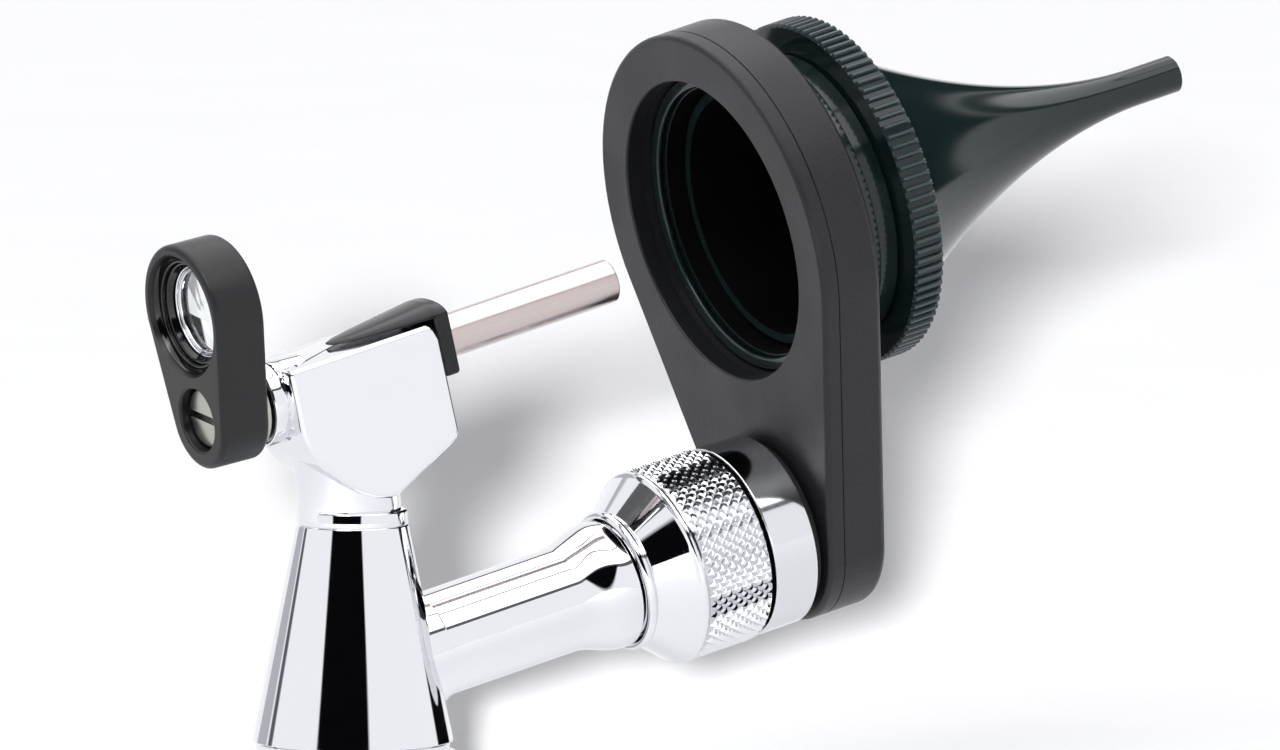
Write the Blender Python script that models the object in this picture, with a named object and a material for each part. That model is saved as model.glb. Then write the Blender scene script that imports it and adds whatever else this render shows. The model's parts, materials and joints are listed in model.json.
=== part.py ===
"""Operating otoscope head: an open head with a swivelling lens, a light tube and a speculum bracket.

Row frame: metres, +Z up the handle axis, origin on that axis at the coupling's bottom rim,
+X the way the speculum points. The sight axis lies in the plane Y = 0 and rises by SIGHT_TILT.
"""

import math

import bmesh
import bpy
from mathutils import Matrix, Vector

MM = 0.001
TURN = 2 * math.pi

# ---- Driving sizes ------------------------------------------------------------------------

GAP = 0.3 * MM                      # between pieces that touch
THREAD_GAP = 0.3 * MM               # between a screw or spigot and its hole
OVERRUN = 1.0 * MM                  # of a cutter past the face it cuts
EDGE_BREAK = 0.2 * MM               # on small turned edges
LARGE_BREAK = 0.3 * MM              # on the collar, nut and neck
SCREW_POINT = 0.4 * MM              # chamfer on a screw or pilot end
SIGHT_TILT = math.radians(13.7)     # sight axis above the horizontal
LENS_TILT = math.radians(10.0)      # the lens looks slightly down into the speculum

# Coupling, cone and neck, round the handle axis
COUPLING_RADIUS = 11.3 * MM
COUPLING_HEIGHT = 10.0 * MM
CONE_BASE_RADIUS = 10.7 * MM
CONE_TOP_RADIUS = 5.95 * MM
CONE_HEIGHT = 23.0 * MM
NECK_BAND = 1.7 * MM
NECK_BULGE = 0.1 * MM
NECK_LEDGE = 0.75 * MM              # the neck stands out past the form above it
SOCKET_RADIUS = 8.3 * MM
SOCKET_DEPTH = 9.0 * MM
SOCKET_WALL = 1.1 * MM
SKIRT_GROOVE_HEIGHT = 1.2 * MM
SKIRT_GROOVE_DEPTH = 0.4 * MM
SKIRT_CHAMFER = 0.8 * MM
BAYONET_SLOT_WIDTH = 2.6 * MM
BAYONET_SLOT_DEPTH = 5.0 * MM
SLEEVE_START = 0.5 * MM

# Centre contact
INSULATOR_RADIUS = 5.2 * MM
INSULATOR_LENGTH = 6.4 * MM
INSULATOR_FLOOR = 0.6 * MM
PIN_TIP_RADIUS = 1.6 * MM
PIN_SHOULDER_RADIUS = 2.1 * MM
PIN_SHOULDER_HEIGHT = 0.6 * MM
PIN_REACH = 3.8 * MM                # of the tip below the insulator
PIN_CLEARANCE = 0.2 * MM
PIN_ROUND = 0.4 * MM
ROD_ENTRY = 0.8 * MM                # of the rod into the insulator
SPRING_WIRE_RADIUS = 0.16 * MM
SPRING_TURNS = 5
ROD_RADIUS = 0.95 * MM
ROD_SLEEVE_WALL = 0.6 * MM

# Speculum bracket, measured from its eye-side face along the sight axis
RING_CENTRE_X = 44.4 * MM
RING_RISE = 29.0 * MM               # top of the cone to the ring's centre
RING_RADIUS = 21.7 * MM
RING_OPENING = 16.6 * MM
FOOT_RADIUS = 10.7 * MM
ARM_DROP = 33.0 * MM                # sight axis to arm axis
BRACKET_THICKNESS = 7.5 * MM
PLATE_THICKNESS = 1.7 * MM
BRACKET_ROUND = 1.0 * MM

# Light tube and lamp
TUBE_DROP = 1.5 * MM                # sight axis to tube axis
TUBE_RADIUS = 2.36 * MM
TUBE_WALL = 0.45 * MM
TUBE_END = -13.6 * MM
TUBE_START = -44.0 * MM
LAMP_LENGTH = 7.4 * MM
LAMP_ROUND = 0.5 * MM
BULB_RADIUS = 1.45 * MM
BULB_LENGTH = 3.2 * MM
TUBE_LENS_THICKNESS = 1.0 * MM
TUBE_LENS_RECESS = 0.8 * MM
TUBE_LENS_CLEARANCE = 0.2 * MM
TUBE_LENS_CROWN = 0.3 * MM

# Block that carries the tube and the lens pivot
BLOCK_WIDTH = 10.0 * MM
BLOCK_FRONT = -37.6 * MM
BLOCK_BACK = -56.2 * MM
BLOCK_ROOF = 0.34 * MM              # of metal over the lamp's bore
BLOCK_CORNER = 1.5 * MM
BLOCK_FRONT_LOW = -10.9 * MM
BLOCK_BACK_LOW = -7.1 * MM
BLOCK_EDGE_BEVEL = 0.5 * MM
CHIN_FRONT = (-4.5 * MM, -8.5 * MM)     # up and along, from the front's low corner
CHIN_BACK = (-8.3 * MM, 6.5 * MM)       # up and along, from the back's low corner
BOSS_RADIUS = 4.6 * MM
BOSS_ROUND = 0.5 * MM
BOSS_LENGTH = 6.0 * MM
FORM_INSET = 0.02 * MM              # of the form below the block inside the block's sides
FORM_DROP = 5.5 * MM                # of that form's top below the block's top

# Clip over the block's top front corner
CLIP_WIDTH = 8.0 * MM
CLIP_THICKNESS = 1.9 * MM
CLIP_RISE = 1.4 * MM
CLIP_LENGTH = 11.0 * MM
CLIP_LEG = 6.6 * MM
CLIP_ROUND = 0.5 * MM
CLIP_TIP = 0.12                     # width and height left at the tongue's tip
CLIP_FLOOR = 0.05 * MM

# Lens holder, measured from its eye-side face along the lens axis
PIVOT_X = -19.0 * MM
PIVOT_RISE = 12.1 * MM              # top of the cone to the pivot
HOLDER_THICKNESS = 5.9 * MM
HOLDER_RADIUS = 7.7 * MM
HOLDER_FOOT_RADIUS = 5.4 * MM
LENS_RISE = 11.3 * MM               # pivot axis to lens axis
HOLDER_ROUND = 0.8 * MM
LENS_RADIUS = 5.35 * MM
LENS_EDGE = 1.0 * MM
LENS_CROWN = 0.75 * MM
LENS_DEPTH = 3.3 * MM
LENS_RING_WIDTH = 0.7 * MM
LENS_RING_HEIGHT = 0.9 * MM
LENS_LEDGE = 0.6 * MM
EYE_MOUTH_RADIUS = 6.8 * MM
EYE_CONE_DEPTH = 0.9 * MM
EYE_STEP = 0.45 * MM
EYE_STEP_DEPTH = 1.7 * MM
PIVOT_HEAD_RADIUS = 3.1 * MM
PIVOT_HEAD_HEIGHT = 1.6 * MM
PIVOT_HEAD_RECESS = 1.0 * MM
PIVOT_SLOT = 0.8 * MM
SLOT_DEPTH = 0.9 * MM
PIVOT_SLOT_TURN = math.radians(8)
PIVOT_SHANK_RADIUS = 1.5 * MM
PIVOT_GRIP = 5.5 * MM               # of the thread in the boss
BUSH_WALL = 0.5 * MM
PIVOT_WASHER_RADIUS = 4.2 * MM
PIVOT_WASHER_THICKNESS = 0.6 * MM

# Arm and its union nut, measured along the arm axis from the bracket's eye-side face
ARM_RADIUS = 5.7 * MM
ARM_START = -46.6 * MM
ARM_FLARE_START = -27.0 * MM
ARM_FLARE_RADIUS = 7.0 * MM
ARM_FLARE_END = -22.0 * MM
NUT_START = -20.9 * MM
NUT_BEAD_RADIUS = 7.7 * MM
NUT_BEAD = 0.55 * MM                # radius of its section
NUT_LIP_HEIGHT = 0.4 * MM
NUT_LIP_WIDTH = 0.35 * MM
NUT_LIP_PLACE = -15.4 * MM
NUT_RADIUS = 10.7 * MM
NUT_END = -7.0 * MM
NUT_WALL = 2.35 * MM
NUT_SHOULDER = 2.6 * MM
FLANGE_THICKNESS = 2.3 * MM
FLANGE_BORE = 4.3 * MM
FRICTION_WASHER_THICKNESS = 0.5 * MM
PILOT_RADIUS = 3.0 * MM
PILOT_END = -6.2 * MM
COLLAR_RADIUS = 10.5 * MM
COLLAR_START = -6.6 * MM
COLLAR_WASHER_RADIUS = 9.6 * MM
COLLAR_WASHER_BORE = 7.4 * MM
COLLAR_WASHER_THICKNESS = 0.7 * MM
SCREW_RADIUS = 1.9 * MM
SCREW_HEAD_RADIUS = 4.2 * MM
SCREW_HEAD_HEIGHT = 2.2 * MM
SCREW_GRIP = 3.6 * MM
SCREW_SLOT = 0.9 * MM
DOWEL_RADIUS = 0.9 * MM
DOWEL_OFFSET = 6.0 * MM
DOWEL_HALF_LENGTH = 4.0 * MM

# Locking ring and speculum, measured along the sight axis from the bracket's eye-side face
SEAT_CLIP_START = 2.2 * MM
SEAT_CLIP_THICKNESS = 0.7 * MM
SEAT_CLIP_WIDTH = 1.1 * MM
SEAT_WALL = 1.4 * MM
SEAT_LIP_RADIUS = 17.6 * MM
SEAT_LIP_END = 10.6 * MM
SEAT_LIP_TAPER = 0.8 * MM
SEAT_NECK_STEP = 0.5 * MM
SEAL_PLACE = 8.4 * MM
SEAL_WIDTH = 1.2 * MM
SEAL_DEPTH = 0.6 * MM
SEAL_THICKNESS = 0.5 * MM
FLANGE_START = 13.7 * MM
SPECULUM_FLANGE = 3.5 * MM
SPECULUM_RADIUS = 19.0 * MM
PLUG_START = 6.0 * MM
FUNNEL_WALL = 1.0 * MM
FUNNEL_MOUTH_RADIUS = 15.6 * MM
FUNNEL_LENGTH = 42.3 * MM           # flange to tip
TIP_RADIUS = 2.03 * MM
TIP_WALL = 0.45 * MM
TIP_TUBE = 5.0 * MM
FUNNEL_SWEEP = 1.85                 # how hollow the funnel is

# ---- Sizes that follow ---------------------------------------------------------------------

CONE_TOP = COUPLING_HEIGHT + CONE_HEIGHT
RING_CENTRE_Z = CONE_TOP + RING_RISE
PIVOT_Z = CONE_TOP + PIVOT_RISE
INSULATOR_BASE = SOCKET_DEPTH + GAP
INSULATOR_TOP = INSULATOR_BASE + INSULATOR_LENGTH
SHOULDER_BASE = INSULATOR_BASE + INSULATOR_FLOOR + GAP
ROD_BASE = INSULATOR_TOP - ROD_ENTRY
SPRING_BASE = SHOULDER_BASE + PIN_SHOULDER_HEIGHT + GAP
SPRING_TOP = ROD_BASE - GAP - THREAD_GAP
SEAT_RADIUS = RING_OPENING - GAP
PLUG_RADIUS = SEAT_RADIUS - SEAT_WALL - GAP
FLANGE_RADIUS = NUT_RADIUS - NUT_WALL - THREAD_GAP
FLANGE_BASE = NUT_START + NUT_SHOULDER + GAP
FRICTION_BASE = FLANGE_BASE + FLANGE_THICKNESS + GAP
SPIGOT_BASE = FRICTION_BASE + FRICTION_WASHER_THICKNESS + GAP
COLLAR_END = -COLLAR_WASHER_THICKNESS - 2 * GAP
TIP_PLACE = FLANGE_START + SPECULUM_FLANGE + FUNNEL_LENGTH
LAMP_RADIUS = TUBE_RADIUS
LAMP_END = TUBE_START - GAP
LAMP_START = LAMP_END - LAMP_LENGTH
TUBE_BORE = TUBE_RADIUS + GAP
PIVOT_SHANK_HOLE = PIVOT_SHANK_RADIUS + THREAD_GAP
BUSH_RADIUS = PIVOT_SHANK_HOLE + BUSH_WALL
HEAD_FLOOR = PIVOT_HEAD_RECESS + PIVOT_HEAD_HEIGHT
BOSS_FACE = HOLDER_THICKNESS + PIVOT_WASHER_THICKNESS + 2 * GAP
BLOCK_TOP = TUBE_BORE - TUBE_DROP + BLOCK_ROOF


def clear_scene():
    for item in list(bpy.data.objects):
        bpy.data.objects.remove(item)


def axis_frame(x, z, tilt):
    """A frame in the plane Y = 0: its z runs forward along the axis, its y up and its x along row +Y."""
    columns = (
        (0, 1, 0),
        (-math.sin(tilt), 0, math.cos(tilt)),
        (math.cos(tilt), 0, math.sin(tilt)),
    )
    frame = Matrix(columns).transposed().to_4x4()
    frame.translation = Vector((x, 0, z))
    return frame


UP = Matrix.Identity(4)
SIGHT = axis_frame(RING_CENTRE_X, RING_CENTRE_Z, SIGHT_TILT)
ARM = SIGHT @ Matrix.Translation((0, -ARM_DROP, 0))
TUBE = SIGHT @ Matrix.Translation((0, -TUBE_DROP, 0))
PIVOT = axis_frame(PIVOT_X, PIVOT_Z, LENS_TILT)
LENS = PIVOT @ Matrix.Translation((0, LENS_RISE, 0))
SIGHT_TO_ROW_X = RING_CENTRE_X + TUBE_DROP * math.sin(SIGHT_TILT)
LAMP_CROSSING = -SIGHT_TO_ROW_X / math.cos(SIGHT_TILT)
ROD_TOP = (TUBE @ Vector((0, 0, LAMP_CROSSING))).z - TUBE_BORE / math.cos(SIGHT_TILT) - GAP


# ---- Materials -----------------------------------------------------------------------------


def material(name, colour, roughness, metallic=0.0, alpha=1.0):
    made = bpy.data.materials.new(name)
    made.use_nodes = True
    shader = made.node_tree.nodes["Principled BSDF"]
    shader.inputs["Base Color"].default_value = (*colour, 1)
    shader.inputs["Roughness"].default_value = roughness
    shader.inputs["Metallic"].default_value = metallic
    shader.inputs["Alpha"].default_value = alpha
    return made


COLOURS = {
    "chrome": ((0.78, 0.78, 0.80), 0.06, 1.0),
    "nickel": ((0.70, 0.66, 0.64), 0.25, 1.0),
    "steel": ((0.58, 0.57, 0.55), 0.32, 1.0),
    "brass": ((0.72, 0.55, 0.28), 0.3, 1.0),
    "black_nylon": ((0.045, 0.047, 0.052), 0.5),
    "clip_plastic": ((0.03, 0.035, 0.04), 0.35),
    "speculum_plastic": ((0.012, 0.022, 0.022), 0.15),
    "insulator_plastic": ((0.25, 0.18, 0.11), 0.5),
    "rubber": ((0.02, 0.02, 0.02), 0.7),
    "glass": ((0.9, 0.94, 0.95), 0.02, 0.0, 0.35),
}


# ---- Shapes --------------------------------------------------------------------------------


def add_object(name, mesh_source, frame, colour):
    """Makes one sub-part from a bmesh, in its own frame, with its own material."""
    mesh = bpy.data.meshes.new(name)
    bmesh.ops.recalc_face_normals(mesh_source, faces=mesh_source.faces)
    mesh_source.to_mesh(mesh)
    mesh_source.free()
    made = bpy.data.objects.new(name, mesh)
    bpy.context.scene.collection.objects.link(made)
    made.matrix_world = frame
    if colour:
        made.data.materials.append(material(name, *COLOURS[colour]))
        mesh.shade_smooth()
        mesh.set_sharp_from_angle(angle=math.radians(32))
    return made


def turned(name, profile, frame, colour, steps=32):
    """A turned piece: profile is a closed outline of (place along the axis, radius)."""
    shape = bmesh.new()
    points = [shape.verts.new((radius, 0, along)) for along, radius in profile]
    edges = [shape.edges.new((points[i - 1], points[i])) for i in range(len(points))]
    bmesh.ops.spin(
        shape, geom=points + edges, cent=(0, 0, 0), axis=(0, 0, 1), angle=TURN, steps=steps
    )
    bmesh.ops.remove_doubles(shape, verts=shape.verts, dist=1e-6)
    bmesh.ops.dissolve_degenerate(shape, edges=shape.edges, dist=1e-7)
    return add_object(name, shape, frame, colour)


def lofted(name, loops, frame, colour):
    """Skins a stack of loops with the same number of points, and closes both ends."""
    shape = bmesh.new()
    rings = [[shape.verts.new(point) for point in loop] for loop in loops]
    for low, high in zip(rings, rings[1:]):
        for i in range(len(low)):
            shape.faces.new((low[i - 1], low[i], high[i], high[i - 1]))
    shape.faces.new(rings[0])
    shape.faces.new(rings[-1])
    return add_object(name, shape, frame, colour)


def arc(centre_x, centre_y, radius, start, end, steps):
    """Points of an arc, both ends included; angles in radians."""
    angles = [start + (end - start) * i / steps for i in range(steps + 1)]
    return [(centre_x + radius * math.cos(a), centre_y + radius * math.sin(a)) for a in angles]


def teardrop(head, foot, drop, height, steps=28):
    """Outline of two circles and their tangents: the head circle at 0, the foot circle drop below."""
    lean = math.asin((head - foot) / drop)
    outline = arc(0, 0, head, -lean, math.pi + lean, steps)
    outline += arc(0, -drop, foot, math.pi + lean, TURN - lean, steps // 2)
    return [(x, y, height) for x, y in outline]


def teardrop_plate(name, head, foot, drop, low, high, round_low, round_high, frame, colour, steps=28):
    """A teardrop plate from low to high, with its two outline edges rounded."""
    loops = []
    for height, radius, side in ((low, round_low, 1), (high, round_high, -1)):
        stages = [0, 1, 2, 3] if radius else [3]
        edge = []
        for stage in stages:
            angle = math.pi / 2 * stage / 3
            inset = radius * (1 - math.sin(angle))
            rise = side * radius * (1 - math.cos(angle))
            edge.append(teardrop(head - inset, foot - inset, drop, height + rise, steps))
        loops += edge if side == 1 else edge[::-1]
    return lofted(name, loops, frame, colour)


def cylinder(name, radius, low, high, frame, colour, steps=28, centre=(0, 0)):
    """A plain cylinder along its frame's z, mostly used as a cutter."""
    x, y = centre
    loops = [
        [(x + radius * math.cos(TURN * i / steps), y + radius * math.sin(TURN * i / steps), z)
         for i in range(steps)]
        for z in (low, high)
    ]
    return lofted(name, loops, frame, colour)


def box(name, low, high, frame, colour):
    """A box between two corners."""
    loops = [
        [(low[0], low[1], z), (high[0], low[1], z), (high[0], high[1], z), (low[0], high[1], z)]
        for z in (low[2], high[2])
    ]
    return lofted(name, loops, frame, colour)


def combine(target, tool, operation):
    """Adds a Boolean to target and hides its tool from the build."""
    tool.hide_render = True
    tool.display_type = "WIRE"
    step = target.modifiers.new(tool.name, "BOOLEAN")
    step.operation = operation
    step.solver = "EXACT"
    step.object = tool


def cut(target, *tools):
    for tool in tools:
        combine(target, tool, "DIFFERENCE")


def join(target, *tools):
    for tool in tools:
        combine(target, tool, "UNION")


def hold(pieces, frame, name):
    """Parents a moving group to an empty on its joint's axis."""
    empty = bpy.data.objects.new(name, None)
    bpy.context.scene.collection.objects.link(empty)
    empty.matrix_world = frame
    for piece in pieces:
        place = piece.matrix_world.copy()
        piece.parent = empty
        piece.matrix_parent_inverse = frame.inverted()
        piece.matrix_world = place


# ---- Head body -----------------------------------------------------------------------------


def head_body():
    """The chrome casting: coupling skirt, cone, neck, transition, block and lens boss."""
    ring_top = COUPLING_HEIGHT - SKIRT_GROOVE_HEIGHT
    groove = CONE_BASE_RADIUS - SKIRT_GROOVE_DEPTH
    neck_radius = CONE_TOP_RADIUS + NECK_BULGE
    neck_top = CONE_TOP + NECK_BAND
    body = turned(
        "head_body",
        [
            (0, 0),
            (0, COUPLING_RADIUS - LARGE_BREAK),
            (LARGE_BREAK, COUPLING_RADIUS),
            (ring_top - SKIRT_CHAMFER, COUPLING_RADIUS),
            (ring_top, COUPLING_RADIUS - 0.6 * SKIRT_CHAMFER),
            (ring_top + LARGE_BREAK, groove),
            (COUPLING_HEIGHT - EDGE_BREAK, groove),
            (COUPLING_HEIGHT, CONE_BASE_RADIUS),
            (CONE_TOP, CONE_TOP_RADIUS),
            (neck_top - LARGE_BREAK, neck_radius),
            (neck_top, neck_radius - LARGE_BREAK),
            (neck_top, 0),
        ],
        UP,
        "chrome",
        40,
    )
    half = BLOCK_WIDTH / 2 - FORM_INSET
    waist = neck_radius - NECK_LEDGE
    waist_ring = [
        Vector((1.15 * waist * c, max(-half, min(half, waist * s)), neck_top - EDGE_BREAK))
        for c, s in arc(0, 0, 1, 0, TURN, 32)[:-1]
    ]
    rim_top = BLOCK_TOP - FORM_DROP
    rim = [
        SIGHT @ Vector((side * half, high, along))
        for side in (-1, 1)
        for high, along in (
            (BLOCK_FRONT_LOW, BLOCK_FRONT - EDGE_BREAK),
            (BLOCK_BACK_LOW, BLOCK_BACK + EDGE_BREAK),
            (rim_top, BLOCK_FRONT - 2 * LARGE_BREAK),
            (rim_top, BLOCK_BACK + 2 * LARGE_BREAK),
        )
    ]
    boss_ring = [
        PIVOT @ Vector((BOSS_RADIUS * 0.94 * c, BOSS_RADIUS * 0.94 * s, BOSS_FACE + 2 * BOSS_ROUND))
        for c, s in arc(0, 0, 1, math.pi, TURN, 10)
    ]
    shape = bmesh.new()
    for point in waist_ring + rim + boss_ring:
        shape.verts.new(point)
    bmesh.ops.convex_hull(shape, input=shape.verts)
    loose = [v for v in shape.verts if not v.link_faces]
    bmesh.ops.delete(shape, geom=loose, context="VERTS")
    transition = add_object("transition", shape, UP, None)
    join(body, transition, block(), boss())
    cut(body, *body_bores())
    return body


def block():
    """The flat-sided block, with small bevels on its edges."""
    half = BLOCK_WIDTH / 2
    outline = [
        (BLOCK_TOP, BLOCK_BACK),
        (BLOCK_TOP, BLOCK_FRONT - BLOCK_CORNER),
        (BLOCK_TOP - 1.4 * BLOCK_CORNER, BLOCK_FRONT),
        (BLOCK_FRONT_LOW, BLOCK_FRONT),
        (BLOCK_FRONT_LOW + CHIN_FRONT[0], BLOCK_FRONT + CHIN_FRONT[1]),
        (BLOCK_BACK_LOW + CHIN_BACK[0], BLOCK_BACK + CHIN_BACK[1]),
        (BLOCK_BACK_LOW, BLOCK_BACK),
    ]
    shape = bmesh.new()
    sides = [[shape.verts.new((x, y, z)) for y, z in outline] for x in (-half, half)]
    for i in range(len(outline)):
        shape.faces.new((sides[0][i - 1], sides[0][i], sides[1][i], sides[1][i - 1]))
    shape.faces.new(sides[0])
    shape.faces.new(sides[1])
    made = add_object("block", shape, SIGHT, None)
    edges = made.modifiers.new("edges", "BEVEL")
    edges.width = BLOCK_EDGE_BEVEL
    edges.segments = 2
    edges.limit_method = "ANGLE"
    edges.angle_limit = math.radians(30)
    return made


def boss():
    """The round boss that the lens holder turns on."""
    return turned(
        "boss",
        [
            (BOSS_FACE, 0),
            (BOSS_FACE, BOSS_RADIUS - BOSS_ROUND),
            (BOSS_FACE + BOSS_ROUND, BOSS_RADIUS),
            (BOSS_FACE + BOSS_LENGTH, BOSS_RADIUS),
            (BOSS_FACE + BOSS_LENGTH, 0),
        ],
        PIVOT,
        None,
        32,
    )


def body_bores():
    """Everything that is bored out of the casting."""
    well = INSULATOR_RADIUS + GAP
    rod_bore = ROD_RADIUS + GAP + ROD_SLEEVE_WALL + GAP
    handle_bore = turned(
        "handle_bore",
        [
            (-OVERRUN, 0),
            (-OVERRUN, SOCKET_RADIUS),
            (SOCKET_DEPTH, SOCKET_RADIUS),
            (SOCKET_DEPTH, well),
            (INSULATOR_TOP + GAP, well),
            (INSULATOR_TOP + GAP, rod_bore),
            (ROD_TOP + TUBE_BORE, rod_bore),
            (ROD_TOP + TUBE_BORE, 0),
        ],
        UP,
        None,
        32,
    )
    lamp_bore = cylinder("lamp_bore", TUBE_BORE, LAMP_START - GAP, BLOCK_FRONT + OVERRUN, TUBE, None)
    arm_bore = cylinder("arm_bore", ARM_RADIUS + GAP, ARM_START - GAP, ARM_FLARE_START, ARM, None)
    pivot_end = BOSS_FACE + PIVOT_GRIP + GAP
    pivot_bore = cylinder("pivot_bore", PIVOT_SHANK_HOLE, BOSS_FACE - OVERRUN, pivot_end, PIVOT, None, 20)
    return handle_bore, lamp_bore, arm_bore, pivot_bore


# ---- Coupling and contact ------------------------------------------------------------------


def bayonet_socket():
    """The steel sleeve pressed in the skirt, with slots that take the handle's lugs."""
    outer = SOCKET_RADIUS - GAP
    inner = outer - SOCKET_WALL
    sleeve = turned(
        "bayonet_socket",
        [
            (SLEEVE_START, inner),
            (SLEEVE_START, outer),
            (SOCKET_DEPTH - GAP, outer),
            (SOCKET_DEPTH - GAP, inner),
        ],
        UP,
        "steel",
        32,
    )
    half = BAYONET_SLOT_WIDTH / 2
    slot_top = SLEEVE_START + BAYONET_SLOT_DEPTH
    reach = outer + OVERRUN
    slot = box("bayonet_slot", (-half, -reach, -OVERRUN), (half, reach, slot_top), UP, None)
    cut(sleeve, slot)
    return sleeve


def contact_insulator():
    """The moulded plug that holds the centre contact."""
    pin_hole = PIN_TIP_RADIUS + PIN_CLEARANCE
    chamber = PIN_SHOULDER_RADIUS + PIN_CLEARANCE
    return turned(
        "contact_insulator",
        [
            (INSULATOR_BASE, pin_hole),
            (INSULATOR_BASE, INSULATOR_RADIUS),
            (INSULATOR_TOP, INSULATOR_RADIUS),
            (INSULATOR_TOP, ROD_RADIUS + GAP),
            (ROD_BASE - GAP, ROD_RADIUS + GAP),
            (ROD_BASE - GAP, chamber),
            (INSULATOR_BASE + INSULATOR_FLOOR, chamber),
            (INSULATOR_BASE + INSULATOR_FLOOR, pin_hole),
        ],
        UP,
        "insulator_plastic",
        32,
    )


def contact_pin():
    """The sprung centre contact, with the shoulder that keeps it in."""
    tip = INSULATOR_BASE - PIN_REACH
    shoulder_top = SHOULDER_BASE + PIN_SHOULDER_HEIGHT
    return turned(
        "contact_pin",
        [
            (tip, 0),
            (tip, PIN_TIP_RADIUS - PIN_ROUND),
            (tip + PIN_ROUND, PIN_TIP_RADIUS),
            (SHOULDER_BASE, PIN_TIP_RADIUS),
            (SHOULDER_BASE, PIN_SHOULDER_RADIUS),
            (shoulder_top, PIN_SHOULDER_RADIUS),
            (shoulder_top, 0),
        ],
        UP,
        "brass",
        24,
    )


def contact_spring():
    """The helical spring behind the centre contact."""
    coil_radius = PIN_SHOULDER_RADIUS - 2 * SPRING_WIRE_RADIUS
    low = SPRING_BASE + SPRING_WIRE_RADIUS
    high = SPRING_TOP - SPRING_WIRE_RADIUS
    curve = bpy.data.curves.new("contact_spring", "CURVE")
    curve.dimensions = "3D"
    curve.bevel_depth = SPRING_WIRE_RADIUS
    curve.bevel_resolution = 0
    curve.use_fill_caps = True
    count = SPRING_TURNS * 10
    spline = curve.splines.new("POLY")
    spline.points.add(count)
    for i, point in enumerate(spline.points):
        angle = TURN * SPRING_TURNS * i / count
        height = low + (high - low) * i / count
        point.co = (coil_radius * math.cos(angle), coil_radius * math.sin(angle), height, 1)
    made = bpy.data.objects.new("contact_spring", curve)
    bpy.context.scene.collection.objects.link(made)
    curve.materials.append(material("contact_spring", *COLOURS["steel"]))
    return made


def contact_rod():
    return cylinder("contact_rod", ROD_RADIUS, ROD_BASE, ROD_TOP, UP, "brass", 16)


def rod_sleeve():
    inner = ROD_RADIUS + GAP
    outer = inner + ROD_SLEEVE_WALL
    low = INSULATOR_TOP + GAP
    return turned(
        "rod_sleeve",
        [(low, inner), (low, outer), (ROD_TOP - GAP, outer), (ROD_TOP - GAP, inner)],
        UP,
        "insulator_plastic",
        20,
    )


# ---- Light ---------------------------------------------------------------------------------


def lamp_can():
    """The lamp's metal shell."""
    return turned(
        "lamp_can",
        [
            (LAMP_START, 0),
            (LAMP_START, LAMP_RADIUS - LAMP_ROUND),
            (LAMP_START + LAMP_ROUND, LAMP_RADIUS),
            (LAMP_END, LAMP_RADIUS),
            (LAMP_END, 0),
        ],
        TUBE,
        "nickel",
        28,
    )


def lamp_bulb():
    """The glass bulb that looks into the tube."""
    base = LAMP_END + GAP
    dome_start = base + BULB_LENGTH - BULB_RADIUS
    dome = [(dome_start + y, x) for x, y in arc(0, 0, BULB_RADIUS, 0, math.pi / 2, 5)]
    profile = [(base, 0), (base, BULB_RADIUS)] + dome[:-1] + [(base + BULB_LENGTH, 0)]
    return turned("lamp_bulb", profile, TUBE, "glass", 20)


def light_tube():
    """The bright tube that carries the light to the speculum."""
    inner = TUBE_RADIUS - TUBE_WALL
    return turned(
        "light_tube",
        [
            (TUBE_START, inner),
            (TUBE_START, TUBE_RADIUS),
            (TUBE_END - EDGE_BREAK, TUBE_RADIUS),
            (TUBE_END, TUBE_RADIUS - EDGE_BREAK),
            (TUBE_END, inner),
        ],
        TUBE,
        "nickel",
        32,
    )


def tube_lens():
    """The small condenser lens in the tube's mouth."""
    radius = TUBE_RADIUS - TUBE_WALL - TUBE_LENS_CLEARANCE
    high = TUBE_END - TUBE_LENS_RECESS
    low = high - TUBE_LENS_THICKNESS
    crown = TUBE_LENS_CROWN
    return turned(
        "tube_lens",
        [
            (low, 0),
            (low, radius),
            (high - crown, radius),
            (high - crown * 0.35, radius * 0.6),
            (high, 0),
        ],
        TUBE,
        "glass",
        24,
    )


def clip_arch(half_width, rise, base, low, along):
    """Outline of the clip at one place: an arched top over half_width, straight down to low."""
    arch = [(half_width * math.cos(a), base + rise * math.sin(a)) for a in
            [math.pi * i / 10 for i in range(11)]]
    return [(x, y, along) for x, y in [(half_width, low)] + arch + [(-half_width, low)]]


def lamp_clip():
    """The moulded clip: a tongue along the block's top and a leg that the tube passes through."""
    half = CLIP_WIDTH / 2
    back = BLOCK_FRONT + GAP
    face = back + CLIP_THICKNESS
    base = BLOCK_TOP + GAP
    tongue_floor = base - CLIP_FLOOR
    tongue = []
    stations = 8
    for i in range(stations + 1):
        share = i / stations
        width = half * (CLIP_TIP + (1 - CLIP_TIP) * math.sqrt(share))
        rise = CLIP_RISE * (CLIP_TIP + (1 - CLIP_TIP) * share)
        along = back - CLIP_LENGTH + (CLIP_LENGTH + GAP) * share
        tongue.append(clip_arch(width, rise, base, tongue_floor, along))
    clip = lofted("lamp_clip", tongue, SIGHT, "clip_plastic")
    low = base - CLIP_LEG
    inner = half - CLIP_ROUND
    leg = lofted(
        "clip_leg",
        [
            clip_arch(half, CLIP_RISE, base, low, back),
            clip_arch(half, CLIP_RISE, base, low, face - CLIP_ROUND),
            clip_arch(inner, CLIP_RISE - CLIP_ROUND, base, low + 0.5 * CLIP_ROUND, face),
        ],
        SIGHT,
        None,
    )
    join(clip, leg)
    cut(clip, cylinder("clip_hole", TUBE_BORE, back - CLIP_LENGTH / 3, face + OVERRUN, TUBE, None))
    return clip


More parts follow.
